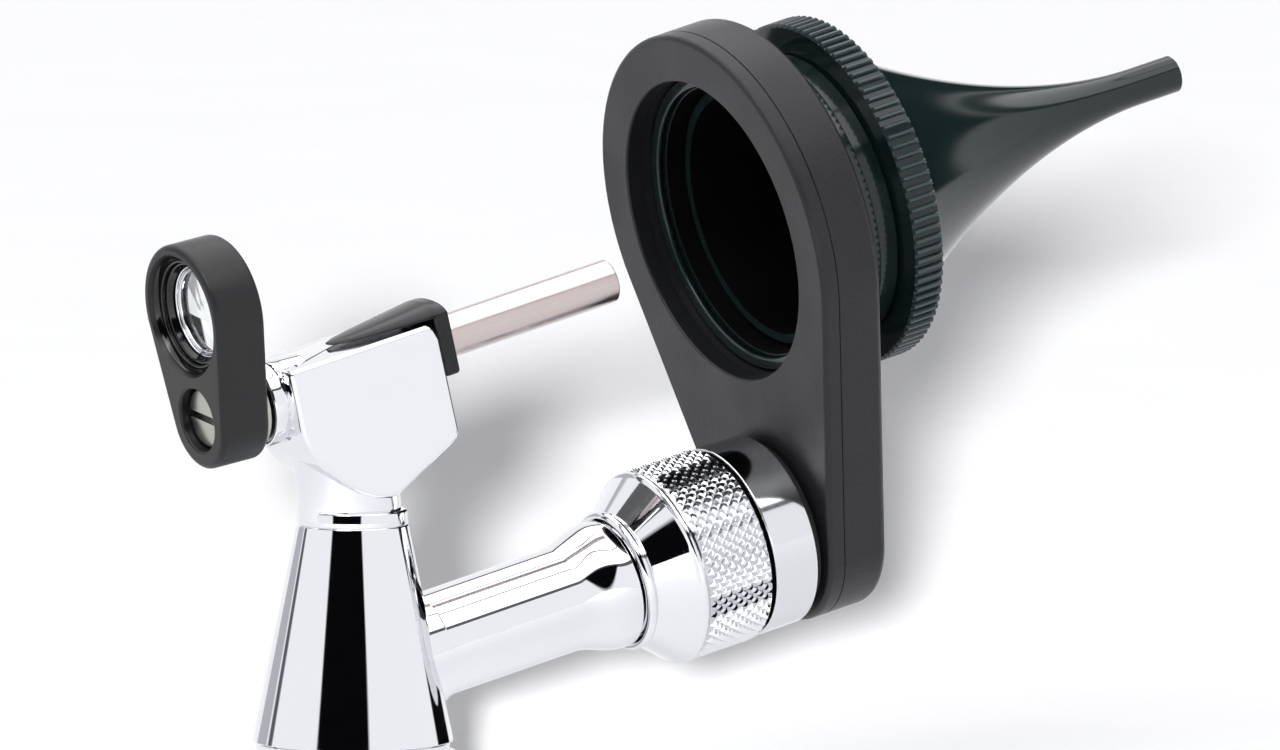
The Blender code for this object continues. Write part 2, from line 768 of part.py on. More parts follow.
# ---- Lens holder ---------------------------------------------------------------------------


def lens_holder():
    """The moulded teardrop that carries the viewing lens and turns on the pivot screw."""
    holder = teardrop_plate(
        "lens_holder",
        HOLDER_RADIUS,
        HOLDER_FOOT_RADIUS,
        LENS_RISE,
        0,
        HOLDER_THICKNESS,
        HOLDER_ROUND,
        HOLDER_ROUND,
        LENS,
        "black_nylon",
        22,
    )
    seat = LENS_RADIUS + GAP
    seat_floor = LENS_DEPTH + LENS_EDGE + GAP
    eye = turned(
        "eye_bore",
        [
            (-OVERRUN, 0),
            (-OVERRUN, EYE_MOUTH_RADIUS),
            (0, EYE_MOUTH_RADIUS),
            (EYE_CONE_DEPTH, seat + EYE_STEP),
            (EYE_STEP_DEPTH, seat + EYE_STEP / 2),
            (EYE_STEP_DEPTH, seat),
            (seat_floor, seat),
            (seat_floor, LENS_RADIUS - LENS_LEDGE),
            (HOLDER_THICKNESS + OVERRUN, LENS_RADIUS - LENS_LEDGE),
            (HOLDER_THICKNESS + OVERRUN, 0),
        ],
        LENS,
        None,
        32,
    )
    pivot = turned(
        "holder_pivot_bore",
        [
            (-OVERRUN, 0),
            (-OVERRUN, PIVOT_HEAD_RADIUS + GAP),
            (HEAD_FLOOR + GAP, PIVOT_HEAD_RADIUS + GAP),
            (HEAD_FLOOR + GAP, BUSH_RADIUS + GAP),
            (HOLDER_THICKNESS + OVERRUN, BUSH_RADIUS + GAP),
            (HOLDER_THICKNESS + OVERRUN, 0),
        ],
        PIVOT,
        None,
        28,
    )
    cut(holder, eye, pivot)
    return holder


def lens():
    """The biconvex viewing lens."""
    low = LENS_DEPTH
    high = LENS_DEPTH + LENS_EDGE
    back = [(low - LENS_CROWN * (1 - (i / 4) ** 2), LENS_RADIUS * i / 4) for i in range(5)]
    front = [(LENS_DEPTH + high - along, radius) for along, radius in back[::-1]]
    return turned("lens", back + front, LENS, "glass", 32)


def lens_ring():
    """The bright ring that keeps the lens in its seat."""
    high = LENS_DEPTH - GAP
    low = high - LENS_RING_HEIGHT
    outer = LENS_RADIUS
    inner = outer - LENS_RING_WIDTH
    return turned(
        "lens_ring",
        [(low, inner + EDGE_BREAK), (low, outer), (high, outer), (high, inner), (low + EDGE_BREAK, inner)],
        LENS,
        "chrome",
        32,
    )


def pivot_bush():
    """The sleeve in the holder that runs on the pivot screw."""
    low = HEAD_FLOOR + GAP
    return turned(
        "pivot_bush",
        [
            (low, PIVOT_SHANK_HOLE),
            (low, BUSH_RADIUS),
            (HOLDER_THICKNESS, BUSH_RADIUS),
            (HOLDER_THICKNESS, PIVOT_SHANK_HOLE),
        ],
        PIVOT,
        "brass",
        24,
    )


def pivot_screw():
    """The slotted screw that the holder turns on."""
    end = BOSS_FACE + PIVOT_GRIP
    screw = turned(
        "pivot_screw",
        [
            (PIVOT_HEAD_RECESS, 0),
            (PIVOT_HEAD_RECESS, PIVOT_HEAD_RADIUS - EDGE_BREAK),
            (PIVOT_HEAD_RECESS + EDGE_BREAK, PIVOT_HEAD_RADIUS),
            (HEAD_FLOOR, PIVOT_HEAD_RADIUS),
            (HEAD_FLOOR, PIVOT_SHANK_RADIUS),
            (end - SCREW_POINT, PIVOT_SHANK_RADIUS),
            (end, PIVOT_SHANK_RADIUS - SCREW_POINT),
            (end, 0),
        ],
        PIVOT,
        "steel",
        28,
    )
    half = PIVOT_SLOT / 2
    reach = PIVOT_HEAD_RADIUS + OVERRUN
    turn = Matrix.Rotation(PIVOT_SLOT_TURN, 4, "Z")
    slot = box(
        "driver_slot",
        (-reach, -half, PIVOT_HEAD_RECESS - OVERRUN),
        (reach, half, PIVOT_HEAD_RECESS + SLOT_DEPTH),
        PIVOT @ turn,
        None,
    )
    cut(screw, slot)
    return screw


def pivot_washer():
    """The spring washer that gives the holder its drag."""
    low = HOLDER_THICKNESS + GAP
    high = low + PIVOT_WASHER_THICKNESS
    return turned(
        "pivot_washer",
        [
            (low, PIVOT_SHANK_HOLE),
            (low, PIVOT_WASHER_RADIUS),
            (high, PIVOT_WASHER_RADIUS),
            (high, PIVOT_SHANK_HOLE),
        ],
        PIVOT,
        "steel",
        32,
    )


# ---- Arm and union nut ---------------------------------------------------------------------


def arm():
    """The arm: a bar with a flared end, a neck for the nut and a pilot for the collar."""
    flare_steps = 3
    flare_length = ARM_FLARE_END - ARM_FLARE_START
    flare = [
        (
            ARM_FLARE_START + flare_length * i / flare_steps,
            ARM_RADIUS + (ARM_FLARE_RADIUS - ARM_RADIUS) * (i / flare_steps) ** 2,
        )
        for i in range(flare_steps + 1)
    ]
    neck_start = NUT_START - GAP
    neck_end = FLANGE_BASE - GAP
    thread = FLANGE_BORE - THREAD_GAP
    return turned(
        "arm",
        [(ARM_START, 0), (ARM_START, ARM_RADIUS)]
        + flare
        + [
            (neck_start, ARM_FLARE_RADIUS - EDGE_BREAK),
            (neck_start, ARM_RADIUS),
            (neck_end, ARM_RADIUS),
            (neck_end, thread),
            (FRICTION_BASE - GAP, thread),
            (FRICTION_BASE - GAP, PILOT_RADIUS),
            (PILOT_END - SCREW_POINT, PILOT_RADIUS),
            (PILOT_END, PILOT_RADIUS - SCREW_POINT),
            (PILOT_END, 0),
        ],
        ARM,
        "chrome",
        32,
    )


def clamp_flange():
    """The threaded ring on the arm's end that keeps the nut captive and takes the clamping force."""
    high = FLANGE_BASE + FLANGE_THICKNESS
    return turned(
        "clamp_flange",
        [
            (FLANGE_BASE, FLANGE_BORE),
            (FLANGE_BASE, FLANGE_RADIUS),
            (high, FLANGE_RADIUS),
            (high, FLANGE_BORE),
        ],
        ARM,
        "steel",
        32,
    )


def friction_washer():
    """The fibre washer between the flange and the collar's spigot."""
    high = FRICTION_BASE + FRICTION_WASHER_THICKNESS
    bore = PILOT_RADIUS + GAP
    return turned(
        "friction_washer",
        [
            (FRICTION_BASE, bore),
            (FRICTION_BASE, FLANGE_RADIUS - GAP),
            (high, FLANGE_RADIUS - GAP),
            (high, bore),
        ],
        ARM,
        "insulator_plastic",
        32,
    )


def knurled_nut():
    """The captive union nut: bead, polished cone, lip and a knurled band."""
    neck = ARM_RADIUS + GAP
    thread = NUT_RADIUS - NUT_WALL
    bead_centre = NUT_START + NUT_BEAD
    bead = [
        (bead_centre + x, NUT_BEAD_RADIUS - NUT_BEAD + y)
        for x, y in arc(0, 0, NUT_BEAD, math.pi, 0.15 * math.pi, 4)
    ]
    return turned(
        "knurled_nut",
        [(NUT_START, neck)]
        + bead
        + [
            (bead_centre + NUT_BEAD, NUT_BEAD_RADIUS - EDGE_BREAK),
            (NUT_LIP_PLACE - 2 * NUT_LIP_WIDTH, NUT_RADIUS - NUT_LIP_HEIGHT),
            (NUT_LIP_PLACE - NUT_LIP_WIDTH, NUT_RADIUS),
            (NUT_LIP_PLACE, NUT_RADIUS),
            (NUT_LIP_PLACE + NUT_LIP_WIDTH, NUT_RADIUS - NUT_LIP_HEIGHT),
            (NUT_LIP_PLACE + 2 * NUT_LIP_WIDTH, NUT_RADIUS),
            (NUT_END - LARGE_BREAK, NUT_RADIUS),
            (NUT_END, NUT_RADIUS - LARGE_BREAK),
            (NUT_END, thread),
            (NUT_START + NUT_SHOULDER, thread),
            (NUT_START + NUT_SHOULDER, neck),
        ],
        ARM,
        "chrome",
        40,
    )


# ---- Bracket -------------------------------------------------------------------------------


def dowel_holes(name, low, high):
    """Cutters for the two dowels, from low to high along the arm axis."""
    return [
        cylinder(f"{name}_{side}", DOWEL_RADIUS + GAP, low, high, ARM, None, 16, (x, 0))
        for side, x in (("left", -DOWEL_OFFSET), ("right", DOWEL_OFFSET))
    ]


def swivel_collar():
    """The turned collar on the bracket: its spigot screws into the union nut."""
    spigot = NUT_RADIUS - NUT_WALL - THREAD_GAP
    pilot = PILOT_RADIUS + GAP
    screw_hole = SCREW_RADIUS + THREAD_GAP
    pilot_floor = PILOT_END + GAP
    collar = turned(
        "swivel_collar",
        [
            (SPIGOT_BASE, pilot),
            (SPIGOT_BASE, spigot),
            (COLLAR_START, spigot),
            (COLLAR_START, COLLAR_RADIUS - EDGE_BREAK),
            (COLLAR_START + EDGE_BREAK, COLLAR_RADIUS),
            (COLLAR_END - LARGE_BREAK, COLLAR_RADIUS),
            (COLLAR_END, COLLAR_RADIUS - LARGE_BREAK),
            (COLLAR_END, screw_hole),
            (pilot_floor, screw_hole),
            (pilot_floor, pilot),
        ],
        ARM,
        "chrome",
        36,
    )
    cut(collar, *dowel_holes("collar_dowel_hole", -DOWEL_HALF_LENGTH - GAP, OVERRUN))
    return collar


def collar_washer():
    """The dark washer between the collar and the bracket."""
    high = -GAP
    low = high - COLLAR_WASHER_THICKNESS
    return turned(
        "collar_washer",
        [
            (low, COLLAR_WASHER_BORE),
            (low, COLLAR_WASHER_RADIUS),
            (high, COLLAR_WASHER_RADIUS),
            (high, COLLAR_WASHER_BORE),
        ],
        ARM,
        "rubber",
        32,
    )


def bracket_plate():
    """The thin eye-side cover of the bracket."""
    plate = teardrop_plate(
        "bracket_plate",
        RING_RADIUS,
        FOOT_RADIUS,
        ARM_DROP,
        0,
        PLATE_THICKNESS,
        BRACKET_ROUND,
        0,
        SIGHT,
        "black_nylon",
        30,
    )
    through = PLATE_THICKNESS + OVERRUN
    opening = cylinder("plate_opening", RING_OPENING, -OVERRUN, through, SIGHT, None, 40)
    screw = cylinder("plate_screw_hole", SCREW_RADIUS + GAP, -OVERRUN, through, ARM, None, 20)
    cut(plate, opening, screw, *dowel_holes("plate_dowel_hole", -OVERRUN, through))
    return plate


def bracket_body():
    """The moulded bracket: a ring for the speculum on a foot that the collar holds."""
    body = teardrop_plate(
        "bracket_body",
        RING_RADIUS,
        FOOT_RADIUS,
        ARM_DROP,
        PLATE_THICKNESS + GAP,
        BRACKET_THICKNESS,
        0,
        BRACKET_ROUND,
        SIGHT,
        "black_nylon",
        30,
    )
    through = BRACKET_THICKNESS + OVERRUN
    opening = cylinder("body_opening", RING_OPENING, OVERRUN, through, SIGHT, None, 40)
    hole = SCREW_RADIUS + GAP
    head = SCREW_HEAD_RADIUS + GAP
    head_base = BRACKET_THICKNESS - GAP - SCREW_HEAD_HEIGHT
    sink = turned(
        "screw_sink",
        [
            (0, 0),
            (0, hole),
            (head_base - GAP, hole),
            (BRACKET_THICKNESS - GAP, head),
            (through, head),
            (through, 0),
        ],
        ARM,
        None,
        28,
    )
    cut(body, opening, sink, *dowel_holes("body_dowel_hole", OVERRUN, DOWEL_HALF_LENGTH + GAP))
    return body


def bracket_screw():
    """The countersunk screw that fixes the bracket to the collar."""
    top = BRACKET_THICKNESS - GAP
    base = top - SCREW_HEAD_HEIGHT
    end = COLLAR_END - SCREW_GRIP
    screw = turned(
        "bracket_screw",
        [
            (end, 0),
            (end, SCREW_RADIUS - SCREW_POINT),
            (end + SCREW_POINT, SCREW_RADIUS),
            (base, SCREW_RADIUS),
            (top - EDGE_BREAK, SCREW_HEAD_RADIUS),
            (top, SCREW_HEAD_RADIUS),
            (top, 0),
        ],
        ARM,
        "steel",
        28,
    )
    reach = SCREW_HEAD_RADIUS + OVERRUN
    half = SCREW_SLOT / 2
    low = (-reach, -half, top - SLOT_DEPTH)
    slot = box("screw_slot", low, (reach, half, top + OVERRUN), ARM, None)
    cut(screw, slot)
    return screw


def collar_dowels():
    """Two dowels that stop the bracket turning on the collar."""
    reach = DOWEL_HALF_LENGTH
    return [
        cylinder(f"dowel_{side}", DOWEL_RADIUS, -reach, reach, ARM, "steel", 16, (x, 0))
        for side, x in (("left", -DOWEL_OFFSET), ("right", DOWEL_OFFSET))
    ]


# ---- Locking ring and speculum -------------------------------------------------------------


def seat_clip():
    """The glossy snap ring just inside the opening, which keeps the locking ring in."""
    high = SEAT_CLIP_START + SEAT_CLIP_THICKNESS
    inner = SEAT_RADIUS - SEAT_CLIP_WIDTH
    return turned(
        "seat_clip",
        [
            (SEAT_CLIP_START, inner + EDGE_BREAK),
            (SEAT_CLIP_START, SEAT_RADIUS),
            (high, SEAT_RADIUS),
            (high, inner),
            (SEAT_CLIP_START + EDGE_BREAK, inner),
        ],
        SIGHT,
        "speculum_plastic",
        40,
    )


def locking_ring():
    """The ring that turns in the bracket and holds the speculum's plug."""
    start = SEAT_CLIP_START + SEAT_CLIP_THICKNESS + GAP
    inner = SEAT_RADIUS - SEAT_WALL
    lip_start = BRACKET_THICKNESS + GAP
    end = FLANGE_START - GAP
    groove = inner + SEAL_DEPTH
    seal_end = SEAL_PLACE + SEAL_WIDTH + GAP
    return turned(
        "locking_ring",
        [
            (start, inner),
            (start, SEAT_RADIUS),
            (lip_start, SEAT_RADIUS),
            (lip_start, SEAT_LIP_RADIUS),
            (SEAT_LIP_END, SEAT_LIP_RADIUS - SEAT_LIP_TAPER),
            (SEAT_LIP_END, SEAT_RADIUS - SEAT_NECK_STEP),
            (end, SEAT_RADIUS - SEAT_NECK_STEP),
            (end, inner),
            (seal_end, inner),
            (seal_end, groove),
            (SEAL_PLACE - GAP, groove),
            (SEAL_PLACE - GAP, inner),
        ],
        SIGHT,
        "speculum_plastic",
        40,
    )


def seat_seal():
    """The rubber ring that grips the speculum's plug."""
    outer = SEAT_RADIUS - SEAT_WALL + SEAL_DEPTH - GAP
    inner = outer - SEAL_THICKNESS
    end = SEAL_PLACE + SEAL_WIDTH
    return turned(
        "seat_seal",
        [(SEAL_PLACE, inner), (SEAL_PLACE, outer), (end, outer), (end, inner)],
        SIGHT,
        "rubber",
        32,
    )


def funnel_radius(share):
    """Outside radius of the funnel from the flange (0) to the start of the tip's tube (1)."""
    hollow = (1 - share) ** FUNNEL_SWEEP
    return TIP_RADIUS + (FUNNEL_MOUTH_RADIUS - TIP_RADIUS) * hollow


def speculum():
    """The ear speculum: plug, gripping flange, concave funnel and tip."""
    flange_end = FLANGE_START + SPECULUM_FLANGE
    curve_end = TIP_PLACE - TIP_TUBE
    steps = 8
    outside = []
    inside = []
    for i in range(steps + 1):
        share = i / steps
        along = flange_end + (curve_end - flange_end) * share
        radius = funnel_radius(share)
        wall = FUNNEL_WALL + (TIP_WALL - FUNNEL_WALL) * share
        outside.append((along, radius))
        inside.append((along, radius - wall))
    plug = PLUG_RADIUS - GAP
    bore = plug - FUNNEL_WALL
    profile = [
        (PLUG_START, bore),
        (PLUG_START, plug),
        (FLANGE_START, plug),
        (FLANGE_START, SPECULUM_RADIUS - LARGE_BREAK),
        (FLANGE_START + LARGE_BREAK, SPECULUM_RADIUS),
        (flange_end - LARGE_BREAK, SPECULUM_RADIUS),
        (flange_end, SPECULUM_RADIUS - LARGE_BREAK),
    ]
    profile += outside
    profile += [(TIP_PLACE - EDGE_BREAK, TIP_RADIUS), (TIP_PLACE, TIP_RADIUS - EDGE_BREAK)]
    profile += [(TIP_PLACE, TIP_RADIUS - TIP_WALL)]
    profile += [point for point in inside[::-1] if point[1] < bore]
    return turned("speculum", profile, SIGHT, "speculum_plastic", 40)


def build():
    clear_scene()
    head_body()
    bayonet_socket()
    contact_insulator()
    hold([contact_pin()], Matrix.Translation((0, 0, SHOULDER_BASE)), "contact_travel")
    contact_spring()
    contact_rod()
    rod_sleeve()
    lamp_can()
    lamp_bulb()
    light_tube()
    tube_lens()
    lamp_clip()
    hold([lens_holder(), lens(), lens_ring(), pivot_bush()], PIVOT, "lens_pivot")
    pivot_screw()
    pivot_washer()
    arm()
    clamp_flange()
    friction_washer()
    hold([knurled_nut()], ARM, "nut_axis")
    bracket = [swivel_collar(), collar_washer(), bracket_plate(), bracket_body()]
    bracket += [bracket_screw(), *collar_dowels(), seat_clip()]
    hold(bracket, ARM, "bracket_axis")
    hold([locking_ring(), seat_seal(), speculum()], SIGHT, "speculum_axis")


build()
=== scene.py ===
# %% [markdown]
# # An operating otoscope head
#
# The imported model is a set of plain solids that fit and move. This lesson gives them the finish of
# the real instrument: polished chrome, moulded nylon, a glossy speculum and a glass lens. Each
# piece whose surface shows is drawn again with Blender's own tools, in its CAD place.

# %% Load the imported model
import json
import math

import bpy
from mathutils import Matrix, Vector


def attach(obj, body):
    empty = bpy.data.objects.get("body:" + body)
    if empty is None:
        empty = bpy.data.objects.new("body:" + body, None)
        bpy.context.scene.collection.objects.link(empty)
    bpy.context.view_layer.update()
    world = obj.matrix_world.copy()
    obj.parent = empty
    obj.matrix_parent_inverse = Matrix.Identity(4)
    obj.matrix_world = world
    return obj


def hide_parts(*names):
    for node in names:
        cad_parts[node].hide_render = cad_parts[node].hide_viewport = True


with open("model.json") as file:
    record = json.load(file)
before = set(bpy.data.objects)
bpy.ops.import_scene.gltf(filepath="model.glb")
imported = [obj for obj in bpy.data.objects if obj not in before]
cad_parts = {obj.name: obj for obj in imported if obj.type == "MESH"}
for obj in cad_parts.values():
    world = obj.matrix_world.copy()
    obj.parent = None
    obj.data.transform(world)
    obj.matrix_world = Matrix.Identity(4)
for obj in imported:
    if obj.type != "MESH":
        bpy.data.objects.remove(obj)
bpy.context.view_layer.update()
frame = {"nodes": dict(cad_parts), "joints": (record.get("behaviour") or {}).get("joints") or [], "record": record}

# %% [markdown]
# ## Axes to work along
#
# Almost every piece is turned about one of four axes. Working along each axis, with z pointing
# towards the ear and y up, makes the shapes simple. The joints and nodes say where the axes are.

# %% Working frames
MM = 0.001
TURN = 2 * math.pi
WELD = 1e-7
GAP = 0.3                         # left between pieces that touch, in millimetres


def axes_at(point, along):
    """A frame at a point: z runs along the axis, x is the row's +Y, and y is up."""
    z = Vector(along).normalized()
    x = Vector((0, 1, 0))
    placed = Matrix((x, z.cross(x), z)).transposed().to_4x4()
    placed.translation = Vector(point)
    return placed


def reach(node, place):
    """Lowest and highest corner of a CAD node, measured along a frame's own directions."""
    inverse = place.inverted()
    points = [inverse @ corner.co for corner in frame["nodes"][node].data.vertices]
    low = Vector([min(point[i] for point in points) for i in range(3)])
    high = Vector([max(point[i] for point in points) for i in range(3)])
    return low, high


def shifted(place, node):
    """The same frame, moved up to the middle of a node."""
    low, high = reach(node, place)
    return place @ Matrix.Translation((0, (low.y + high.y) / 2, 0))


joints = {joint["name"]: joint for joint in frame["joints"]}
ROW = Matrix.Identity(4)
SIGHT = axes_at(joints["ring_turn"]["pos_m"], joints["ring_turn"]["axis"])
ARM = axes_at(joints["bracket_swivel"]["pos_m"], joints["bracket_swivel"]["axis"])
PIVOT = axes_at(joints["lens_swivel"]["pos_m"], joints["lens_swivel"]["axis"])
LENS = shifted(PIVOT, "lens")
TUBE = shifted(SIGHT, "light_tube")
print("sight axis at", SIGHT.translation, "arm axis at", ARM.translation)

# %% [markdown]
# ## Drawing and turning
#
# A lathe makes most of this instrument, so the first tool is a lathe: one vertex is extruded
# from point to point to draw half a section, and Spin turns it round the axis. Sharp edges get a
# small Bevel, because no real edge is perfectly sharp, and that is what catches the light.

# %% Helpers for edit mode
ROUND = 128                       # steps in a full turn, enough for a mirror finish


def start_at(name, point):
    """Adds a plane, merges it to one vertex and moves that to point. Stays in edit mode."""
    bpy.ops.object.select_all(action="DESELECT")
    bpy.ops.mesh.primitive_plane_add(size=MM)
    piece = bpy.context.object
    piece.name = name
    piece.data.name = name
    bpy.ops.object.mode_set(mode="EDIT")
    bpy.ops.mesh.select_mode(type="VERT")
    bpy.ops.mesh.select_all(action="SELECT")
    bpy.ops.mesh.merge(type="CENTER")
    bpy.ops.transform.translate(value=point)
    return piece


def draw(name, points, closed=True):
    """Draws a chain of edges through the points and leaves all of it selected."""
    piece = start_at(name, points[0])
    stops = points[1:] + points[:1] if closed else points[1:]
    here = Vector(points[0])
    for stop in stops:
        step = Vector(stop) - here
        bpy.ops.mesh.extrude_vertices_move(TRANSFORM_OT_translate={"value": step})
        here = Vector(stop)
    bpy.ops.mesh.select_all(action="SELECT")
    bpy.ops.mesh.remove_doubles(threshold=WELD)
    return piece


def close_up():
    """Points all faces outwards and leaves edit mode."""
    bpy.ops.mesh.select_all(action="SELECT")
    bpy.ops.mesh.normals_make_consistent(inside=False)
    bpy.ops.object.mode_set(mode="OBJECT")


def choose(piece, kind, test):
    """Selects the edges or faces whose corner points pass the test. Stays in edit mode."""
    bpy.ops.object.mode_set(mode="EDIT")
    bpy.ops.mesh.select_mode(type=kind)
    bpy.ops.mesh.select_all(action="DESELECT")
    bpy.ops.object.mode_set(mode="OBJECT")
    corners = piece.data.vertices
    for item in piece.data.edges if kind == "EDGE" else piece.data.polygons:
        item.select = test([corners[i].co for i in item.vertices])
    bpy.ops.object.mode_set(mode="EDIT")


def put(piece, place):
    """Moves a piece to its frame and applies the move to its mesh."""
    bpy.ops.object.mode_set(mode="OBJECT")
    bpy.ops.object.select_all(action="DESELECT")
    piece.select_set(True)
    bpy.context.view_layer.objects.active = piece
    piece.matrix_world = place @ piece.matrix_world
    bpy.ops.object.transform_apply(location=True, rotation=True, scale=True)
    return piece


def apply_modifier(piece, kind, **settings):
    """Adds a modifier with its settings and applies it."""
    bpy.context.view_layer.objects.active = piece
    step = piece.modifiers.new(kind.lower(), kind)
    for name, value in settings.items():
        setattr(step, name, value)
    bpy.ops.object.modifier_apply(modifier=step.name)


def round_edges(piece, width, segments=3):
    """Rounds every edge that is sharper than 30 degrees."""
    apply_modifier(piece, "BEVEL", width=width, segments=segments, limit_method="ANGLE",
                   angle_limit=math.radians(30), use_clamp_overlap=True)


def shade(piece):
    """Shades round stretches smooth, with normals that large faces decide."""
    bpy.ops.object.select_all(action="DESELECT")
    piece.select_set(True)
    bpy.context.view_layer.objects.active = piece
    bpy.ops.object.shade_smooth_by_angle(angle=math.radians(42))
    apply_modifier(piece, "WEIGHTED_NORMAL", keep_sharp=True, weight=60)
    return piece


def turned(name, outline, place, edge=0.0, steps=ROUND):
    """Turns an outline of (along, radius) points round z, then puts it in place."""
    points = [(radius, 0, along) for along, radius in outline]
    on_axis = outline[0][1] == 0 and outline[-1][1] == 0
    piece = draw(name, points, closed=not on_axis)
    bpy.ops.mesh.spin(steps=steps, angle=TURN, center=(0, 0, 0), axis=(0, 0, 1))
    bpy.ops.mesh.select_all(action="SELECT")
    bpy.ops.mesh.remove_doubles(threshold=WELD)
    bpy.ops.mesh.dissolve_degenerate(threshold=WELD)
    bpy.ops.mesh.normals_make_consistent(inside=False)
    bpy.ops.object.mode_set(mode="OBJECT")
    if edge:
        round_edges(piece, edge)
    return put(piece, place)


def combine(piece, tool, operation="DIFFERENCE"):
    """Cuts a tool from a piece, or joins the two, and removes the tool."""
    bpy.ops.object.select_all(action="DESELECT")
    apply_modifier(piece, "BOOLEAN", object=tool, operation=operation, solver="EXACT")
    bpy.data.objects.remove(tool)


def arc(along, radius, size, start, end, steps=8):
    """Points of an arc in an outline; the angles, in degrees, turn from along to outwards."""
    angles = [math.radians(start + (end - start) * i / steps) for i in range(steps + 1)]
    return [(along + size * math.cos(a), radius + size * math.sin(a)) for a in angles]


print("helpers ready")

# %% [markdown]
# ## Colours and nodes
#
# A colour is written as the sRGB hex value that a colour picker shows, and one function turns it
# to the linear values that shaders work in. One more adds a node with its settings and links.

# %% Material helpers


def linear(code):
    """Linear red, green, blue and alpha from an sRGB hex colour."""
    shares = [int(code[i:i + 2], 16) / 255 for i in (1, 3, 5)]
    return [s / 12.92 if s <= 0.04045 else ((s + 0.055) / 1.055) ** 2.4 for s in shares] + [1.0]


def node(tree, kind, settings=None, links=None):
    """Adds a node. A setting is a socket or a property by name; a link feeds a socket."""
    made = tree.nodes.new(kind)
    for name, value in (settings or {}).items():
        if isinstance(name, int) or name in made.inputs:
            made.inputs[name].default_value = value
        else:
            setattr(made, name, value)
    for name, source in (links or {}).items():
        tree.links.new(source, made.inputs[name])
    return made


def new_surface(name):
    """An empty material and its node tree."""
    made = bpy.data.materials.new(name)
    made.use_nodes = True
    made.node_tree.nodes.clear()
    return made, made.node_tree


def finish_surface(tree, settings, links):
    """Ends a material with a Principled shader."""
    shader = node(tree, "ShaderNodeBsdfPrincipled", settings, links)
    node(tree, "ShaderNodeOutputMaterial", links={"Surface": shader.outputs[0]})


def per_mm(size):
    """Texture scale that gives a feature of this many millimetres on Object coordinates."""
    return 1 / (size * MM)


# %% [markdown]
# ## Chrome plate
#
# The casting, the arm and the nut are brass with a thin, polished chrome plate. It is a mirror:
# almost no roughness of its own, only a trace of polishing waviness that bends long reflections,
# and faint wiping marks in its gloss.

# %% Polished chrome


def polished_chrome(name, colour, low_rough, high_rough, wave_height):
    """A plated mirror with waviness about 7 mm long and wiping marks about 3 mm wide."""
    made, tree = new_surface(name)
    spot = node(tree, "ShaderNodeTexCoord").outputs["Object"]
    wipe = node(tree, "ShaderNodeTexNoise", {"Scale": per_mm(3), "Detail": 5.0, "Roughness": 0.6},
                {"Vector": spot})
    gloss = node(tree, "ShaderNodeMapRange",
                 {"From Min": 0.35, "From Max": 0.7, "To Min": low_rough, "To Max": high_rough},
                 {"Value": wipe.outputs[0]})
    wave = node(tree, "ShaderNodeTexNoise", {"Scale": per_mm(7), "Detail": 1.0}, {"Vector": spot})
    bump = node(tree, "ShaderNodeBump", {"Strength": 0.35, "Distance": wave_height * MM},
                {"Height": wave.outputs[0]})
    finish_surface(tree, {"Base Color": linear(colour), "Metallic": 1.0},
                   {"Roughness": gloss.outputs[0], "Normal": bump.outputs[0]})
    return made


chrome = polished_chrome("polished_chrome_plate", "#e4e5e8", 0.02, 0.06, 0.012)
knurl_chrome = polished_chrome("knurled_chrome_plate", "#dfe0e3", 0.08, 0.16, 0.004)
print("made", chrome.name, "and", knurl_chrome.name)

# %% [markdown]
# ## Turned metal
#
# A lathe tool leaves fine rings round the axis. They are a noise that changes only along the
# axis, so a Mapping node first turns the coordinates to lie along it. Real rings are a few
# hundredths of a millimetre apart, too fine to show, so they are drawn about 0.15 mm apart.

# %% Turned and drawn metal


def turned_metal(name, colour, place, rough, ring_mm, ring_height, across=0.0):
    """Metal with lathe rings about a frame's z axis, or lines along it where across is 1."""
    made, tree = new_surface(name)
    spot = node(tree, "ShaderNodeTexCoord").outputs["Object"]
    local = node(tree, "ShaderNodeMapping",
                 {"vector_type": "TEXTURE", "Location": place.translation,
                  "Rotation": place.to_euler()}, {"Vector": spot})
    stretch = node(tree, "ShaderNodeMapping", {"Scale": (across, across, 1 - 0.97 * across)},
                   {"Vector": local.outputs[0]})
    rings = node(tree, "ShaderNodeTexNoise", {"Scale": per_mm(ring_mm), "Detail": 3.0},
                 {"Vector": stretch.outputs[0]})
    tone = node(tree, "ShaderNodeMapRange",
                {"From Min": 0.3, "From Max": 0.7, "To Min": rough * 0.75, "To Max": rough * 1.3},
                {"Value": rings.outputs[0]})
    bump = node(tree, "ShaderNodeBump", {"Strength": 0.4, "Distance": ring_height * MM},
                {"Height": rings.outputs[0]})
    finish_surface(tree, {"Base Color": linear(colour), "Metallic": 1.0},
                   {"Roughness": tone.outputs[0], "Normal": bump.outputs[0]})
    return made


turned_chrome = turned_metal("turned_chrome_plate", "#dcdde0", ARM, 0.1, 0.15, 0.003)
screw_steel = turned_metal("turned_nickel_plated_steel", "#b3b3ac", PIVOT, 0.26, 0.15, 0.006)
foot_steel = turned_metal("turned_zinc_plated_steel", "#a9aaac", ARM, 0.3, 0.15, 0.006)
socket_steel = turned_metal("bored_stainless_steel", "#b2b2b0", ROW, 0.22, 0.2, 0.006)
contact_brass = turned_metal("turned_brass", "#c9a25a", ROW, 0.2, 0.15, 0.005)
drawn_nickel = turned_metal("drawn_nickel_silver", "#c9bebb", TUBE, 0.2, 0.5, 0.008, across=1.0)
print("made six turned and drawn metals")

# %% [markdown]
# ## Moulded plastics and rubber
#
# The bracket and the lens holder are glass-filled nylon from a spark-eroded mould, whose fine
# grain breaks the highlight up into a soft sheen. The speculum comes from a polished mould, so it
# is glossy. One fine noise gives the grain, as bump and tone, and a broad one varies the gloss.

# %% Moulded plastics


